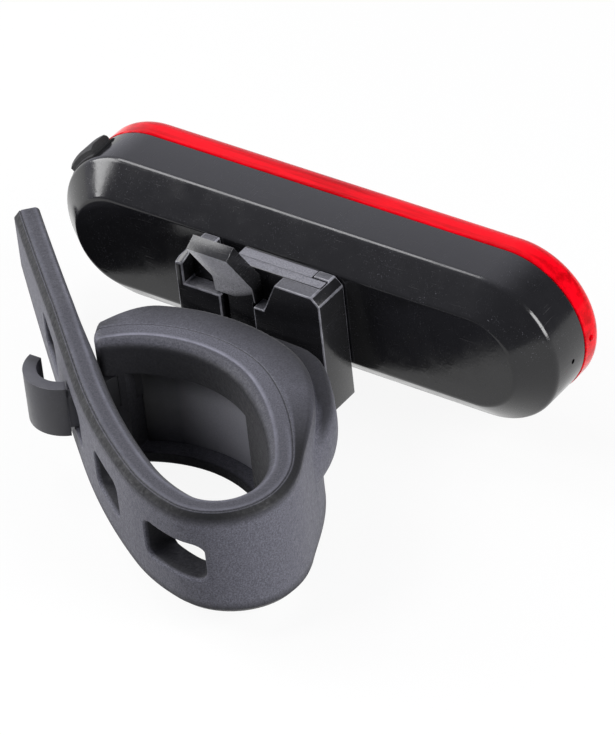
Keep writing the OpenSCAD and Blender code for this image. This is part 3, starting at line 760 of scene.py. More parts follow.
@dataclass
class LampHead:
    """Pill-shaped head: housing, lens, power button and port cover."""

    length: float = 100.0
    height: float = 28.4
    depth: float = 13.0
    bevel_inset: float = 5.4
    bevel_depth: float = 4.7
    wall: float = 1.8
    floor_lap: float = 4.0
    place: Point3 = (3.0, 37.6, 6.0)
    lens_depth: float = 5.6
    lens_edge: float = 3.0
    lens_crown: float = 0.4
    lens_wall: float = 1.6
    skirt_wall: float = 1.2
    skirt_deep: float = 1.9
    skirt_top: float = 0.8
    foot_break: float = 0.15
    nub_w: float = 1.77
    arc_steps: int = 48
    cover_low: float = 45.0
    cover_high: float = 58.0
    cover_slack: Point2 = (2.5, 1.0)
    recess_deep: float = 0.8
    recess_span: Point2 = (5.4, 11.8)
    port_half: float = 4.65
    port_deep: float = 3.6
    port_span: Point2 = (5.8, 9.6)
    button_z: float = 8.4
    button_half: float = 2.9
    button_hole: float = 2.2
    button_deep: float = 3.0
    button_steps: int = 24
    gate_r: float = 0.45
    gate_at: Point2 = (-1.24, 9.3)
    plate_span: Point2 = (-4.4, -2.2)
    neck_span: Point2 = (-2.4, 0.4)
    over: float = 1.0
    gap: float = 0.1
    end_r: float = field(init=False)
    end_x: float = field(init=False)

    def __post_init__(self) -> None:
        """Works out the radius and the centres of the round ends."""
        self.end_r = self.height / 2
        self.end_x = self.length / 2 - self.end_r

    def build(self, nodes: dict[str, Item]) -> None:
        """Builds the pieces that show.

        Args:
            nodes: the CAD nodes by name.
        """
        self.housing()
        self.lens()
        self.button()
        cover = softened(nodes["port_cover"], "port_flap", 0.22)
        seat(cover, Look.SILICONE, Body.COVER, "button_rubber", "port_cover")

    def at(self, x: float, z: float, w: float) -> Point3:
        """Place of a point given along the head, up and from the back face."""
        return (self.place[0] + x, self.place[1] + w, self.place[2] + z)

    def round_the_pill(self, line: Sequence[Point2]) -> BMesh:
        """Sweeps a half profile, given as radius and depth of its points, round the pill."""
        outlines = [(oblong(self.end_x, r, self.arc_steps), w) for r, w in line]
        return loft([[self.at(u, v, w) for u, v in outline] for outline, w in outlines])

    def sector(self, line: Sequence[Point2], low: float, high: float, steps: int = 40) -> BMesh:
        """Turns a closed profile part of the way round the left end.

        Args:
            line: radius and depth of each point of the profile.
            low: lower angle from the end's middle, in degrees.
            high: upper angle.
            steps: segments of the turn.

        Returns:
            The mesh.
        """
        rings = []
        for k in range(steps + 1):
            a = math.radians(low + (high - low) * k / steps)
            rings.append([self.at(-self.end_x - r * math.cos(a), r * math.sin(a), w) for r, w in line])
        return loft(rings)

    def housing(self) -> None:
        """Builds the rear housing with its tongue, port recess and button opening."""
        r = self.end_r
        back_r = r - self.bevel_inset
        start_r = back_r - self.floor_lap
        inner_r = r - self.wall
        slant = math.hypot(self.bevel_inset, self.bevel_depth)
        floor_r = back_r + self.wall * (self.bevel_inset - slant) / self.bevel_depth
        bevel_top = self.wall + (inner_r - floor_r) * self.bevel_depth / self.bevel_inset
        corners = [
            (start_r, 0.0), (back_r, 0.0), (r, self.bevel_depth), (r, self.depth),
            (inner_r, self.depth), (inner_r, bevel_top), (floor_r, self.wall), (start_r, self.wall),
        ]
        line = rounded(corners, [0.0, 0.5, 0.7, 0.3, 0.2, 0.5, 0.5, 0.0])
        piece = as_object(self.round_the_pill(line), "housing_shell")
        carve(piece, [self.port_recess(), self.port_opening(), self.button_opening(), self.gate_mark()])
        carve(piece, self.tongue(), "UNION")
        carve(piece, [as_object(self.post(side), "post") for side in (-1, 1)], "UNION")
        shade(piece, CRISP_ANGLE)
        seat(piece, Look.GLOSS, Body.HEAD, "gloss_black", "rear_housing")

    def port_recess(self) -> Item:
        """Cuts the shallow seat of the port cover.

        Returns:
            The cutter.
        """
        inner, outer = self.end_r - self.recess_deep, self.end_r + self.over
        low, high = self.recess_span
        line = [(inner, low), (outer, low), (outer, high), (inner, high)]
        below, above = self.cover_slack
        return as_object(self.sector(line, -self.cover_low - below, self.cover_high + above), "recess")

    def port_opening(self) -> Item:
        """Cuts the opening in front of the charging socket.

        Returns:
            The cutter.
        """
        end = -self.end_x - self.end_r
        low = self.at(end - self.over, -self.port_half, self.port_span[0])
        high = self.at(end + self.port_deep, self.port_half, self.port_span[1])
        piece = as_object(box(low, high), "opening")
        round_edges(piece, 0.8)
        return piece

    def button_opening(self) -> Item:
        """Cuts the hole of the power button.

        Returns:
            The cutter.
        """
        outline = oblong(self.button_half, self.button_hole, self.button_steps)
        depth = (-self.end_r - self.over, -self.end_r + self.button_deep)
        rings = [[self.at(u, w, self.button_z + v) for u, v in outline] for w in depth]
        return as_object(loft(rings), "hole")

    def gate_mark(self) -> Item:
        """Cuts the round mark at the right end.

        Returns:
            The cutter.
        """
        reach = self.end_x + self.end_r
        z, w = self.gate_at
        outline = [(z + u, w + v) for u, v in circle(self.gate_r, 20)]
        depth = (reach - self.gate_r, reach + self.over)
        return as_object(loft([[self.at(x, u, v) for u, v in outline] for x in depth]), "mark")

    def tongue(self) -> list[Item]:
        """Builds what slides into the receiver.

        Returns:
            The plate and the neck that joins it to the back.
        """
        plate = [(-13.1, 14.8), (13.1, 14.8), (13.1, -6.0), (11.9, -7.2), (-11.9, -7.2), (-13.1, -6.0)]
        neck = [(-10.0, -7.2), (10.0, -7.2), (10.0, 14.75), (-5.1, 14.75), (-5.1, 8.8), (-10.0, 8.8)]
        shapes = []
        for name, outline, span, cut in (
            ("plate", plate, self.plate_span, 0.25),
            ("neck", neck, self.neck_span, 0.2),
        ):
            rings = [[(u, self.place[1] + w, v) for u, v in outline] for w in span]
            shapes.append(as_object(loft(rings), name))
            round_edges(shapes[-1], cut)
        return shapes

    def post(self, side: int) -> BMesh:
        """Builds a bored screw post inside the housing.

        Args:
            side: -1 for the left one and 1 for the right one.

        Returns:
            The mesh.
        """
        line = [(2.2, 1.2), (2.2, 9.4), (0.92, 9.4), (0.92, 4.4)]
        x = side * (self.end_x + 0.2)
        return loft([[self.at(x + u, v, w) for u, v in circle(r, 32)] for r, w in line])

    def lens(self) -> None:
        """Builds the red lens as one shell with a skirt, and its gate nub."""
        base = self.depth + self.gap
        front = self.depth + self.lens_depth
        r = self.end_r + self.gap
        edge, wall, cut = self.lens_edge, self.lens_wall, self.foot_break
        flat = r - edge
        inner = self.end_r - self.wall - self.gap
        skirt, foot_w = inner - self.skirt_wall, base - self.skirt_deep
        outer_crown = [(flat * k / 8, front + self.lens_crown * (1 - (k / 8) ** 2)) for k in range(1, 9)]
        inner_crown = [(x, w - wall) for x, w in outer_crown]
        arc = [math.radians(90.0 - 90.0 * k / 10) for k in range(1, 11)]
        outer_edge = [(flat + edge * math.cos(a), front - edge + edge * math.sin(a)) for a in arc]
        small = edge - wall
        inner_edge = [(flat + small * math.cos(a), front - edge + small * math.sin(a)) for a in arc[:-1]]
        foot = [
            (r, base + cut), (r - cut, base), (inner, base), (inner, foot_w), (skirt, foot_w),
            (skirt, base + self.skirt_top), (flat + small, base + self.skirt_top),
        ]
        line = outer_crown + outer_edge + foot + inner_edge[::-1] + inner_crown[::-1]
        piece = as_object(self.round_the_pill(line), "red_lens")
        carve(piece, [self.lens_nub()], "UNION")
        shade(piece)
        seat(piece, Look.LENS, Body.HEAD, "lens_red", "lens")

    def lens_nub(self) -> Item:
        """Builds the small moulding nub on the lens's right end.

        Returns:
            The nub.
        """
        start = self.end_x + self.end_r + self.gap
        w = self.depth + self.nub_w
        steps = ((start - 0.6, 0.6), (start + 0.2, 0.5), (start + 0.34, 0.3))
        return as_object(loft([[self.at(x, u, w + v) for u, v in circle(r, 16)] for x, r in steps]), "nub")

    def button(self) -> None:
        """Builds the power button with a dished cap and an inner flange."""
        steps = [
            (1.2, -0.45), (1.7, -0.6), (2.0, -0.55), (2.1, -0.2), (2.1, 1.9), (2.7, 1.9), (2.7, 2.5),
        ]
        rings = []
        for r, w in steps:
            outline = oblong(self.button_half, r, self.button_steps)
            rings.append([self.at(u, -self.end_r + w, self.button_z + v) for u, v in outline])
        piece = as_object(loft(rings), "power_key")
        round_edges(piece, 0.12, 2)
        shade(piece)
        seat(piece, Look.SILICONE, Body.BUTTON, "button_rubber", "power_button")


@dataclass
class Strap:
    """Rubber pad and strap along the runs of its inner rim edge."""

    half_height: float = 10.0
    tip_high: float = 5.0
    tip_low: float = 7.5
    taper: float = 36.0
    rim_width: float = 2.9
    pad_rim: float = 1.0
    chamfer: float = 1.2
    inner_cut: float = 1.2
    pad_shoulder: float = 7.4
    pad_drop: float = 2.1
    pad_round: float = 1.1
    pad_fall: float = 0.74
    pad_low: float = 6.0
    pad_r: float = 25.0
    pad_face: float = 15.5
    pad_left: float = 38.0
    tail: float = 55.5
    hook_s: float = 115.19
    slot_past: float = 3.55
    slot_len: float = 10.4
    slot_h: float = 7.0
    slot_corner: float = 1.5
    pitch: float = 20.0
    spacing: float = 0.7
    bend_r: float = 8.0
    tail_r: float = 2000.0
    nose_back: float = 5.0
    nose_run: float = 12.0
    nose_n: float = 1.6
    nose_len: float = 1.5
    nose_drop: float = 1.2
    fade_from: float = 8.0
    fade_run: float = 30.0
    low_run: float = 50.0
    tail_fine: float = 0.6
    fine_run: float = 20.0
    tip_len: float = 2.0
    tip_drop: float = 2.4
    tip_in: float = 0.5
    skin: float = 0.02
    paint_split: float = 45.0
    paint_step: float = 0.4
    runs: list[Point2] = field(init=False)

    def __post_init__(self) -> None:
        """Lays out radius and turn of each run."""
        b = self.bend_r
        self.runs = [(self.pad_r, self.pad_left + 31.0), (2 * self.pad_r, 24.0), (1.5 * b, 35.0)]
        self.runs += [(b, 100.0), (4 * b, 20.0), (16.25 * b, 12.0)]
        self.runs.append((self.tail_r, math.degrees(self.tail / self.tail_r)))

    @property
    def tail_start(self) -> float:
        """Distance of the tail's start from the pad's left end."""
        return sum(r * math.radians(a) for r, a in self.runs[:-1])

    @property
    def middle(self) -> float:
        """Distance of the pad's middle from its left end."""
        return self.pad_r * math.radians(self.pad_left)

    @property
    def total(self) -> float:
        """Length of the inner rim edge."""
        return self.tail_start + self.tail

    def pose(self, s: float) -> Point3:
        """Point and heading on the inner rim edge.

        Args:
            s: distance from the pad's left end.

        Returns:
            The x, the y and the heading in degrees.
        """
        left = math.radians(self.pad_left)
        x = -self.pad_r * math.sin(left)
        y = self.pad_face - self.pad_r * (1 - math.cos(left))
        heading = self.pad_left
        for i, (r, a) in enumerate(self.runs):
            length = r * math.radians(a)
            last = i == len(self.runs) - 1
            turn = math.degrees((s if last else min(s, length)) / r)
            h0, h1 = math.radians(heading), math.radians(heading - turn)
            x += r * (math.sin(h0) - math.sin(h1))
            y += r * (math.cos(h1) - math.cos(h0))
            heading -= turn
            s -= length
            if s <= 0:
                break
        return x, y, heading

    @staticmethod
    def beside(pose: Point3, n: float, z: float, ahead: float = 0.0) -> Point3:
        """Finds a point beside the path.

        Args:
            pose: point and heading on the path.
            n: offset outwards.
            z: height.
            ahead: step along the heading.

        Returns:
            The point.
        """
        a = math.radians(pose[2])
        x = pose[0] - n * math.sin(a) + ahead * math.cos(a)
        return (x, pose[1] + n * math.cos(a) + ahead * math.sin(a), z)

    @staticmethod
    def ease(t: float) -> float:
        """Smooth step from 0 to 1."""
        u = min(max(t, 0.0), 1.0)
        return u * u * (3 - 2 * u)

    def share(self, s: float) -> float:
        """Share of the pad's shoulder at distance s."""
        fade = self.ease((s - self.middle - self.fade_from) / self.fade_run)
        return self.ease((s + self.nose_back) / self.nose_run) * (1 - fade)

    def edge(self, s: float) -> float:
        """Broken inner edge at distance s, finer on the tail."""
        return self.inner_cut * (1 - self.tail_fine * self.ease((s - self.tail_start) / self.fine_run))

    def outer(self, s: float) -> tuple[float, float, float, float, float]:
        """Works out the outer side of the section.

        Args:
            s: distance from the pad's left end.

        Returns:
            Outer offset, shoulder width, last facet's width and the two drops.
        """
        share, c = self.share(s), self.chamfer
        shoulder = c + (self.pad_shoulder - c) * share
        rim = self.rim_width + self.pad_rim * share
        facet = c / 3 + (self.pad_round - c / 3) * share
        fall = c * 2 / 3 + (self.pad_fall - c * 2 / 3) * share
        return rim + shoulder - self.skin, shoulder, facet, fall, c + (self.pad_drop - c) * share

    def high(self, s: float) -> float:
        """Reach above the strap's middle at distance s."""
        return self.half_height - (self.half_height - self.tip_high) * self.narrow(s)

    def low(self, s: float) -> float:
        """Reach below the strap's middle at distance s, deeper on the pad."""
        plain = self.half_height - (self.half_height - self.tip_low) * self.narrow(s)
        return plain + self.pad_low * (1 - self.ease((s - self.middle - self.fade_from) / self.low_run))

    def narrow(self, s: float) -> float:
        """Share of the tail's taper at distance s."""
        return max(0.0, s - self.total + self.taper) / self.taper

    def edge_line(self, n0: float, outer: Sequence[float], h: float, e: float) -> list[Point2]:
        """Upper half of a rounded section, with the crease at the rim's outer edge.

        Args:
            n0: offset of the inner face.
            outer: outer offset, shoulder width, last facet's width and the two drops.
            h: height of the rim.
            e: broken inner edge.

        Returns:
            Offset and height of each point.
        """
        n1, c, b, m, d = outer
        g = min(0.18, c * 0.16)
        rim = n1 - c
        line = [
            (n0, 0.0), (n0, h - e), (n0 + e, h), (rim - g, h), (rim, h - g), (rim + g, h - 0.4 * g),
            (n1 - b, h - m), (n1, h - d), (n1, 0.0),
        ]
        cut = min(0.45, 0.4 * e + 0.05)
        soft = [0.0, cut, cut, 0.4 * g, 0.3 * g, 0.4 * g, 0.42 * min(b, c - b), 0.42 * b, 0.0]
        return rounded(line, soft, 3)

    def ring(
        self, pose: Point3, ahead: float, n0: float, outer: Sequence[float], heights: Point2, e: float
    ) -> list[Point3]:
        """Rounded section of the strap.

        Args:
            pose: point and heading.
            ahead: step along the heading.
            n0: offset of the inner face.
            outer: outer offset, shoulder width, last facet's width and the two drops.
            heights: reach above and below the strap's middle.
            e: broken inner edge.

        Returns:
            The ring of points.
        """
        upper = self.edge_line(n0, outer, heights[0], e)
        lower = self.edge_line(n0, outer, heights[1], e)
        whole = upper + [(n, -z) for n, z in lower[-2:0:-1]]
        return [self.beside(pose, n, z, ahead) for n, z in whole]

    def rings(self) -> list[list[Point3]]:
        """Lays all sections.

        Returns:
            The rings, from the pad's rounded nose to the tail's tip.
        """
        out = []
        n1, c, b, m, d = self.outer(0.0)
        for t in (80, 65, 50, 35, 20, 8):
            k, back = math.cos(math.radians(t)), -self.nose_len * math.sin(math.radians(t))
            end = self.nose_n
            outer = (end + (n1 - end) * k, c * k, b * k, m + (1 - k), d + 2 * (1 - k))
            inner = end - (end + self.inner_cut) * k
            high = self.half_height - self.nose_drop * (1 - k)
            heights = (high, high + self.pad_low)
            out.append(self.ring(self.pose(0.0), back, inner, outer, heights, self.inner_cut * k))
        count = int(self.total / self.spacing)
        for i in range(count):
            s = self.total * i / count
            heights = (self.high(s), self.low(s))
            out.append(self.ring(self.pose(s), 0.0, -self.edge(s), self.outer(s), heights, self.edge(s)))
        e = self.edge(self.total)
        n1, c, b, m, d = self.outer(self.total)
        for t in (0, 12, 24, 36, 48, 60):
            k, ahead = math.cos(math.radians(t)), self.tip_len * math.sin(math.radians(t))
            heights = (self.tip_high - self.tip_drop * (1 - k), self.tip_low - self.tip_drop * (1 - k))
            outer = (n1 - (1 - k), c, b, m, d)
            inner = self.tip_in * (1 - k) - e
            out.append(self.ring(self.pose(self.total), ahead, inner, outer, heights, e))
        return out

    def slot_cutter(self, s: float) -> Item:
        """Round-cornered cutter that follows the strap, with flared mouths.

        Args:
            s: distance of the slot's middle.

        Returns:
            The cutter.
        """
        low, high = -self.edge(s), self.outer(s)[0]
        levels = [(low - 0.7, 0.4), (low, 0.4), (low + 0.12, 0.16), (low + 0.4, 0.0)]
        levels += [(high - 0.55, 0.0), (high - 0.18, 0.14), (high, 0.4), (high + 2.4, 0.9)]
        rings = []
        for n, flare in levels:
            ring = []
            for q in range(4):
                sx, sz = (1 if q in (0, 3) else -1), (1 if q < 2 else -1)
                r = self.slot_corner + flare
                for i in range(9):
                    turn = math.radians(90 * q + 11.25 * i)
                    u = sx * (self.slot_len / 2 - self.slot_corner) + r * math.cos(turn)
                    v = sz * (self.slot_h / 2 - self.slot_corner) + r * math.sin(turn)
                    ring.append(self.beside(self.pose(s + u), n, v))
                if q in (0, 2):
                    side = [sx * (self.slot_len / 2 - self.slot_corner) * (1 - i / 4) for i in range(1, 8)]
                    ring += [self.beside(self.pose(s + w), n, v) for w in side]
            rings.append(ring)
        return as_object(loft(rings), "slot")

    def collar(self, half_w: float, back_y: float) -> Item:
        """Swelling between the pad's back and the receiver.

        Args:
            half_w: half width of the receiver.
            back_y: place of the receiver's front.

        Returns:
            The piece.
        """
        w = half_w
        right = [
            (w - 2.7, 0.0), (w + 1.2, 1.5), (w + 3.5, 3.4), (w + 6.4, 6.5), (w + 9.4, 10.2),
            (w + 11.3, 13.6), (w + 12.6, 17.2), (w + 13.4, 21.0), (w + 13.7, 24.2), (w + 11.0, 22.5),
            (w + 7.0, 16.5), (w + 4.3, 14.7),
        ]
        left = [
            (0.7 - w, 13.2), (-w - 1.3, 11.7), (-w - 3.3, 7.5), (-w - 3.0, 3.4), (-w - 1.2, 1.5),
            (2.7 - w, 0.0),
        ]
        outline = right + left
        for _ in range(2):
            pairs = list(zip(outline, outline[1:] + outline[:1]))
            outline = [
                (p[0] + (q[0] - p[0]) * t, p[1] + (q[1] - p[1]) * t) for p, q in pairs for t in (0.2, 0.8)
            ]
        rings = []
        for k in range(-6, 7):
            z = 4.8 * math.sin(math.radians(15 * k))
            inset = 0.9 + 0.1 * math.cos(math.radians(15 * k)) ** 0.7
            rings.append([(u * inset, back_y - 11.0 - (v - 11.0) * inset, z) for u, v in outline])
        return as_object(loft(rings), "collar")

    def build(self, saddle: Sequence[Item], half_w: float, back_y: float) -> None:
        """Builds the pad and strap.

        Args:
            saddle: cutters for the saddle, its neck and the hook's root.
            half_w: half width of the receiver.
            back_y: place of the receiver's front.
        """
        piece = as_object(loft(self.rings()), "pad_and_strap")
        carve(piece, [self.collar(half_w, back_y)], "UNION")
        hooked = self.hook_s + self.slot_past - self.slot_len / 2
        slots = [self.slot_cutter(hooked + (k - 2) * self.pitch) for k in range(4)]
        carve(piece, [*saddle, *slots])
        shade(piece, CRISP_ANGLE)
        self.paint(piece)
        seat(piece, Look.STRAP, Body.BRACKET, "strap_rubber", "rubber_strap")

    def paint(self, piece: Item) -> None:
        """Writes the section attribute: pad share, offset, depth below the rim and inset from outside.

        Args:
            piece: the finished pad and strap.
        """
        trees = []
        for start, stop in ((0.0, self.paint_split), (self.paint_split, self.total)):
            count = int((stop - start) / self.paint_step)
            stations = [start + (stop - start) * i / count for i in range(count + 1)]
            tree = KDTree(len(stations))
            for i, s in enumerate(stations):
                tree.insert((*self.pose(s)[:2], 0.0), i)
            tree.balance()
            trees.append((tree, stations))
        values = []
        for vertex in piece.data.vertices:
            x, y, z = (c / MM for c in vertex.co)
            places = []
            for tree, stations in trees:
                _, i, far = tree.find((x, y, 0.0))
                s = stations[i]
                px, py, heading = self.pose(s)
                a = math.radians(heading)
                n = (y - py) * math.cos(a) - (x - px) * math.sin(a)
                width = self.outer(s)[0]
                places.append((n < -self.nose_n, far, s, n, width - n))
            _, _, s, n, inset = min(places)
            depth = min(self.high(s) - z, self.low(s) + z)
            values += [self.share(s), n, depth, inset]
        section = piece.data.attributes.new("section", "FLOAT_COLOR", "POINT")
        section.data.foreach_set("color", values)


@dataclass
class Bracket:
    """Receiver, latch, saddle and hook."""

    receiver_y: float = 30.2
    receiver_half: float = 14.7
    window_half: float = 12.3
    window_low: float = -13.1
    window_high: float = 3.5
    window_front: float = 8.0
    neck: Point2 = (10.1, 3.5)
    saddle_back: float = 22.6
    root: tuple[Point2, Point2] = ((-16.08, 5.84), (-11.7, 19.0))
    root_half: float = 1.25
    root_reach: float = 3.2
    lap: float = 1.0

    def build(self, nodes: dict[str, Item]) -> None:
        """Softens the rigid nodes of the bracket and builds the strap.

        Args:
            nodes: the CAD nodes by name.
        """
        for node, name, width, look, body, slot in (
            ("receiver", "slide_receiver", 0.28, Look.MOULDED, Body.BRACKET, "gloss_black"),
            ("release_latch", "latch_lever", 0.25, Look.LEVER, Body.LATCH, "gloss_black"),
            ("saddle_hook", "saddle_and_hook", 0.3, Look.SATIN, Body.BRACKET, "satin_black"),
        ):
            seat(softened(nodes[node], name, width), look, body, slot, node)
        Strap().build(self.saddle_cutters(), self.receiver_half, self.receiver_y)

    def saddle_cutters(self) -> list[Item]:
        """Cuts room for the saddle in the pad.

        Returns:
            Cutters for the saddle's block, its neck and the hook's root.
        """
        x = self.window_half
        low, high = (-x, self.window_front, self.window_low), (x, self.saddle_back, self.window_high)
        block = as_object(box(low, high), "block")
        x, z = self.neck
        low, high = (-x, self.saddle_back - self.lap, -z), (x, self.receiver_y + self.lap, z)
        neck = as_object(box(low, high), "neck")
        start, stop = (Vector(end) for end in self.root)
        side = (stop - start).normalized().orthogonal() * self.root_half
        corners = [start - side, stop - side, stop + side, start + side]
        root = loft([[(*corner, z) for corner in corners] for z in (-self.root_reach, self.root_reach)])
        return [block, neck, as_object(root, "root")]


@dataclass
class Inside:
    """Parts inside the head."""

    led_count: int = 10
    led_pitch: float = 7.2
    led_size: float = 3.0
    led_thick: float = 0.8
    dome_share: float = 0.4
    dome_squash: float = 0.16
    board_face: float = 11.0

    def build(self, nodes: dict[str, Item], head: LampHead) -> None:
        """Dresses the inner nodes and lays the row of diodes.

        Args:
            nodes: the CAD nodes by name.
            head: the head that they sit in.
        """
        looks = {
            "lens_gasket": Look.SILICONE,
            "reflector_tray": Look.REFLECTOR,
            "led_board": Look.LED_BOARD,
            "driver_chips": Look.EPOXY,
            "usb_socket": Look.STEEL,
            "usb_tongue": Look.EPOXY,
            "tact_switch": Look.STEEL,
            "battery_cell": Look.FOIL,
            "protection_board": Look.CELL_BOARD,
            "battery_foam": Look.FOAM,
            "battery_lead_red": Look.RED_WIRE,
            "battery_lead_black": Look.BLACK_WIRE,
            "board_screws": Look.STEEL,
        }
        for name, look in looks.items():
            dress(nodes[name], look)
            LOG.info("%s: dressed as %s", name, look.value.name)
        self.led_row(head)

    def led_row(self, head: LampHead) -> None:
        """Lays diodes along the board with geometry nodes.

        Args:
            head: the head that carries them.
        """
        tree = bpy.data.node_groups.new("diode_row", "GeometryNodeTree")
        tree.interface.new_socket("Geometry", in_out="OUTPUT", socket_type="NodeSocketGeometry")
        settings = {}
        for name, kind, value in (
            ("Count", "NodeSocketInt", self.led_count),
            ("Pitch", "NodeSocketFloat", self.led_pitch * MM),
            ("Package", "NodeSocketFloat", self.led_size * MM),
            ("Thickness", "NodeSocketFloat", self.led_thick * MM),
        ):
            socket = tree.interface.new_socket(name, in_out="INPUT", socket_type=kind)
            settings[socket.identifier] = value
        sheet = NodeSheet(tree)
        count, pitch, size, thick = sheet.add("NodeGroupInput").outputs[:4]
        cube = sheet.add("GeometryNodeMeshCube", {"Size": sheet.vector(size, thick, size)})
        lift = sheet.vector(0.0, sheet.reckon("MULTIPLY", thick, 0.5), 0.0)
        inputs = {"Geometry": cube.outputs["Mesh"], "Translation": lift}
        package = sheet.add("GeometryNodeTransform", inputs)
        inputs = {"Segments": 20, "Rings": 10, "Radius": sheet.reckon("MULTIPLY", size, self.dome_share)}
        ball = sheet.add("GeometryNodeMeshUVSphere", inputs)
        inputs = {"Geometry": ball.outputs["Mesh"], "Translation": sheet.vector(0.0, thick, 0.0)}
        dome = sheet.add("GeometryNodeTransform", {**inputs, "Scale": (1.0, self.dome_squash, 1.0)})
        both = sheet.add("GeometryNodeJoinGeometry")
        for part in (package, dome):
            sheet.join(part.outputs["Geometry"], both.inputs["Geometry"])
        half_span = sheet.reckon("MULTIPLY", sheet.reckon("SUBTRACT", count, 1.0), -0.5)
        x, y, z = (c * MM for c in head.at(0.0, 0.0, self.board_face))
        start = sheet.vector(sheet.reckon("MULTIPLY_ADD", half_span, pitch, x), y, z)
        inputs = {"Count": count, "Start Location": start, "Offset": sheet.vector(pitch, 0.0, 0.0)}
        row = sheet.add("GeometryNodeMeshLine", inputs)
        inputs = {"Points": row.outputs["Mesh"], "Instance": both.outputs["Geometry"]}
        spots = sheet.add("GeometryNodeInstanceOnPoints", inputs)
        real = sheet.add("GeometryNodeRealizeInstances", {"Geometry": spots.outputs["Instances"]})
        inputs = {"Geometry": real.outputs["Geometry"], "Material": Look.RESIN.material}
        dressed = sheet.add("GeometryNodeSetMaterial", inputs)
        sheet.add("NodeGroupOutput", {"Geometry": dressed.outputs["Geometry"]})
        piece = as_object(bmesh.new(), "diode_row")
        step = piece.modifiers.new("row", "NODES")
        step.node_group = tree
        for identifier, value in settings.items():
            step[identifier] = value
        settle(piece)
        shade(piece)
        seat(piece, Look.RESIN, Body.HEAD, "led_resin", "leds")


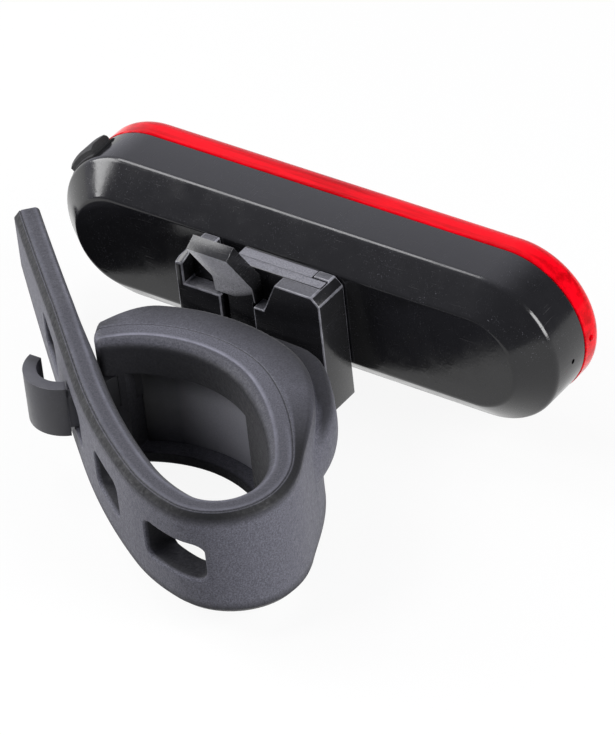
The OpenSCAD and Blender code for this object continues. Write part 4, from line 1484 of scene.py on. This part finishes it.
@dataclass
class Studio:
    """Camera, pale floor and soft light."""

    target: Point3 = (5.186, 37.6, -6.863)
    aim_shift: float = 0.14
    azimuth: float = 38.658
    elevation: float = 36.693
    roll: float = -6.634
    distance: float = 1030.26
    focal_px: float = 6147.02
    picture: tuple[int, int] = (615, 735)
    floor_z: float = -16.3
    floor_reach: float = 4000.0
    floor_glow: float = 1.14
    glow_share: float = 0.8
    loop_edge: Point2 = (0.0215, 0.029)
    lamp_aim: Point3 = (0.0, 20.0, 0.0)
    surround: float = 0.18
    surround_tint: Colour = (0.97, 0.97, 1.08)
    dark_side: float = 0.2

    def build(self) -> None:
        """Makes the camera, the floor, the lamps and the world."""
        self.camera()
        self.floor()
        self.lamps()
        self.world()
        bpy.context.scene.view_settings.view_transform = "Standard"

    def camera(self) -> None:
        """Places the camera at the photo's viewing angle."""
        az, el, roll = (math.radians(a) for a in (self.azimuth, self.elevation, self.roll))
        back = Vector((math.sin(az) * math.cos(el), -math.cos(az) * math.cos(el), math.sin(el)))
        right = Vector((math.cos(az), math.sin(az), 0.0))
        up = back.cross(right)
        tilt_right = right * math.cos(roll) + up * math.sin(roll)
        tilt_up = up * math.cos(roll) - right * math.sin(roll)
        data = bpy.data.cameras.new("camera")
        data.sensor_width = 36.0
        data.lens = self.focal_px / max(self.picture) * data.sensor_width
        data.clip_end = 20.0
        item = bpy.data.objects.new("camera", data)
        turn = Matrix((tilt_right, tilt_up, back)).transposed().to_4x4()
        aim = Vector(self.target) - (tilt_right + tilt_up) * self.aim_shift
        item.matrix_world = Matrix.Translation((aim + back * self.distance) * MM) @ turn
        bpy.context.scene.collection.objects.link(item)
        bpy.context.scene.camera = item

    def floor(self) -> None:
        """Lays a white floor that keeps a soft shadow; reflections see a painted shadow on it, dim inside
        the loop.
        """
        reach = self.floor_reach
        bm = bmesh.new()
        corners = [(-reach, -reach), (reach, -reach), (reach, reach), (-reach, reach)]
        bm.faces.new([bm.verts.new(Vector((x, y, self.floor_z)) * MM) for x, y in corners])
        piece = as_object(bm, "floor")
        sheet = MaterialSheet("white_table")
        mottle = sheet.spread(sheet.noise(6.0, 2.0), 0.3, 0.7)
        ground = sheet.blend(mottle, (0.3, 0.3, 0.3), (0.32, 0.32, 0.32))
        diffuse = sheet.add("ShaderNodeBsdfDiffuse", {"Color": ground})
        glow = sheet.add("ShaderNodeEmission", {"Color": WHITE, "Strength": self.floor_glow})
        path = sheet.add("ShaderNodeLightPath").outputs
        out = sheet.add("ShaderNodeVectorMath", {0: sheet.coord}, operation="LENGTH").outputs["Value"]
        # Painted shadow: reflections see the floor dim inside the loop.
        glossy = sheet.times(path["Is Glossy Ray"], sheet.spread(out, *self.loop_edge))
        seen = sheet.plus(path["Is Camera Ray"], path["Is Transmission Ray"], glossy)
        share = sheet.spread(seen, 0.0, 1.0, 0.0, self.glow_share)
        mix = sheet.add("ShaderNodeMixShader", {0: share, 1: diffuse.outputs[0], 2: glow.outputs[0]})
        sheet.join(mix.outputs[0], sheet.output.inputs["Surface"])
        piece.data.materials.append(sheet.material)

    def lamps(self) -> None:
        """Hangs soft lamps above the left and beside the light; gloss doesn't see the fill."""
        for name, place, size, watts in (
            ("key_softbox", (-275.0, 35.0, 420.0), 0.2, 0.85),
            ("right_softbox", (480.0, 30.0, 220.0), 0.3, 3.3),
            ("left_softbox", (-480.0, -90.0, 260.0), 0.3, 2.1),
            ("fill_softbox", (-230.0, -290.0, 440.0), 0.2, 1.5),
        ):
            data = bpy.data.lights.new(name, "AREA")
            data.energy = watts
            data.size = size
            lamp = bpy.data.objects.new(name, data)
            lamp.visible_glossy = name != "fill_softbox"
            spot = Vector(place)
            aim = (Vector(self.lamp_aim) - spot).to_track_quat("-Z", "Y").to_matrix().to_4x4()
            lamp.matrix_world = Matrix.Translation(spot * MM) @ aim
            bpy.context.scene.collection.objects.link(lamp)

    def world(self) -> None:
        """Sets a pale surround: white to the camera, a white wall at the back left to gloss."""
        world = bpy.data.worlds.new("surround")
        world.use_nodes = True
        sheet = NodeSheet(world.node_tree)
        sheet.tree.nodes.clear()
        x, y, _ = sheet.parts(sheet.add("ShaderNodeTexCoord").outputs["Generated"])
        left = sheet.spread(x, 0.35, -0.3, kind="SMOOTHSTEP")
        behind = sheet.spread(y, -1.1, 0.3, kind="SMOOTHSTEP")
        wall = sheet.spread(sheet.times(left, behind), 0.0, 1.0, self.dark_side)
        path = sheet.add("ShaderNodeLightPath").outputs
        mirrored = sheet.plus(path["Is Glossy Ray"], path["Is Transmission Ray"])
        level = sheet.spread(mirrored, 0.0, 1.0, self.surround, wall)
        back = sheet.add("ShaderNodeBackground", {"Color": self.surround_tint, "Strength": level})
        white = sheet.add("ShaderNodeBackground", {"Color": WHITE})
        inputs = {0: path["Is Camera Ray"], 1: back.outputs[0], 2: white.outputs[0]}
        view = sheet.add("ShaderNodeMixShader", inputs)
        sheet.add("ShaderNodeOutputWorld", {"Surface": view.outputs[0]})
        bpy.context.scene.world = world


def main() -> None:
    """Builds the light round its frame."""
    logging.basicConfig(level=logging.INFO, format="%(name)s %(message)s")
    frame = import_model()
    nodes = frame["nodes"]
    head = LampHead()
    head.build(nodes)
    Inside().build(nodes, head)
    Bracket().build(nodes)
    Studio().build()


if __name__ == "__main__":
    main()
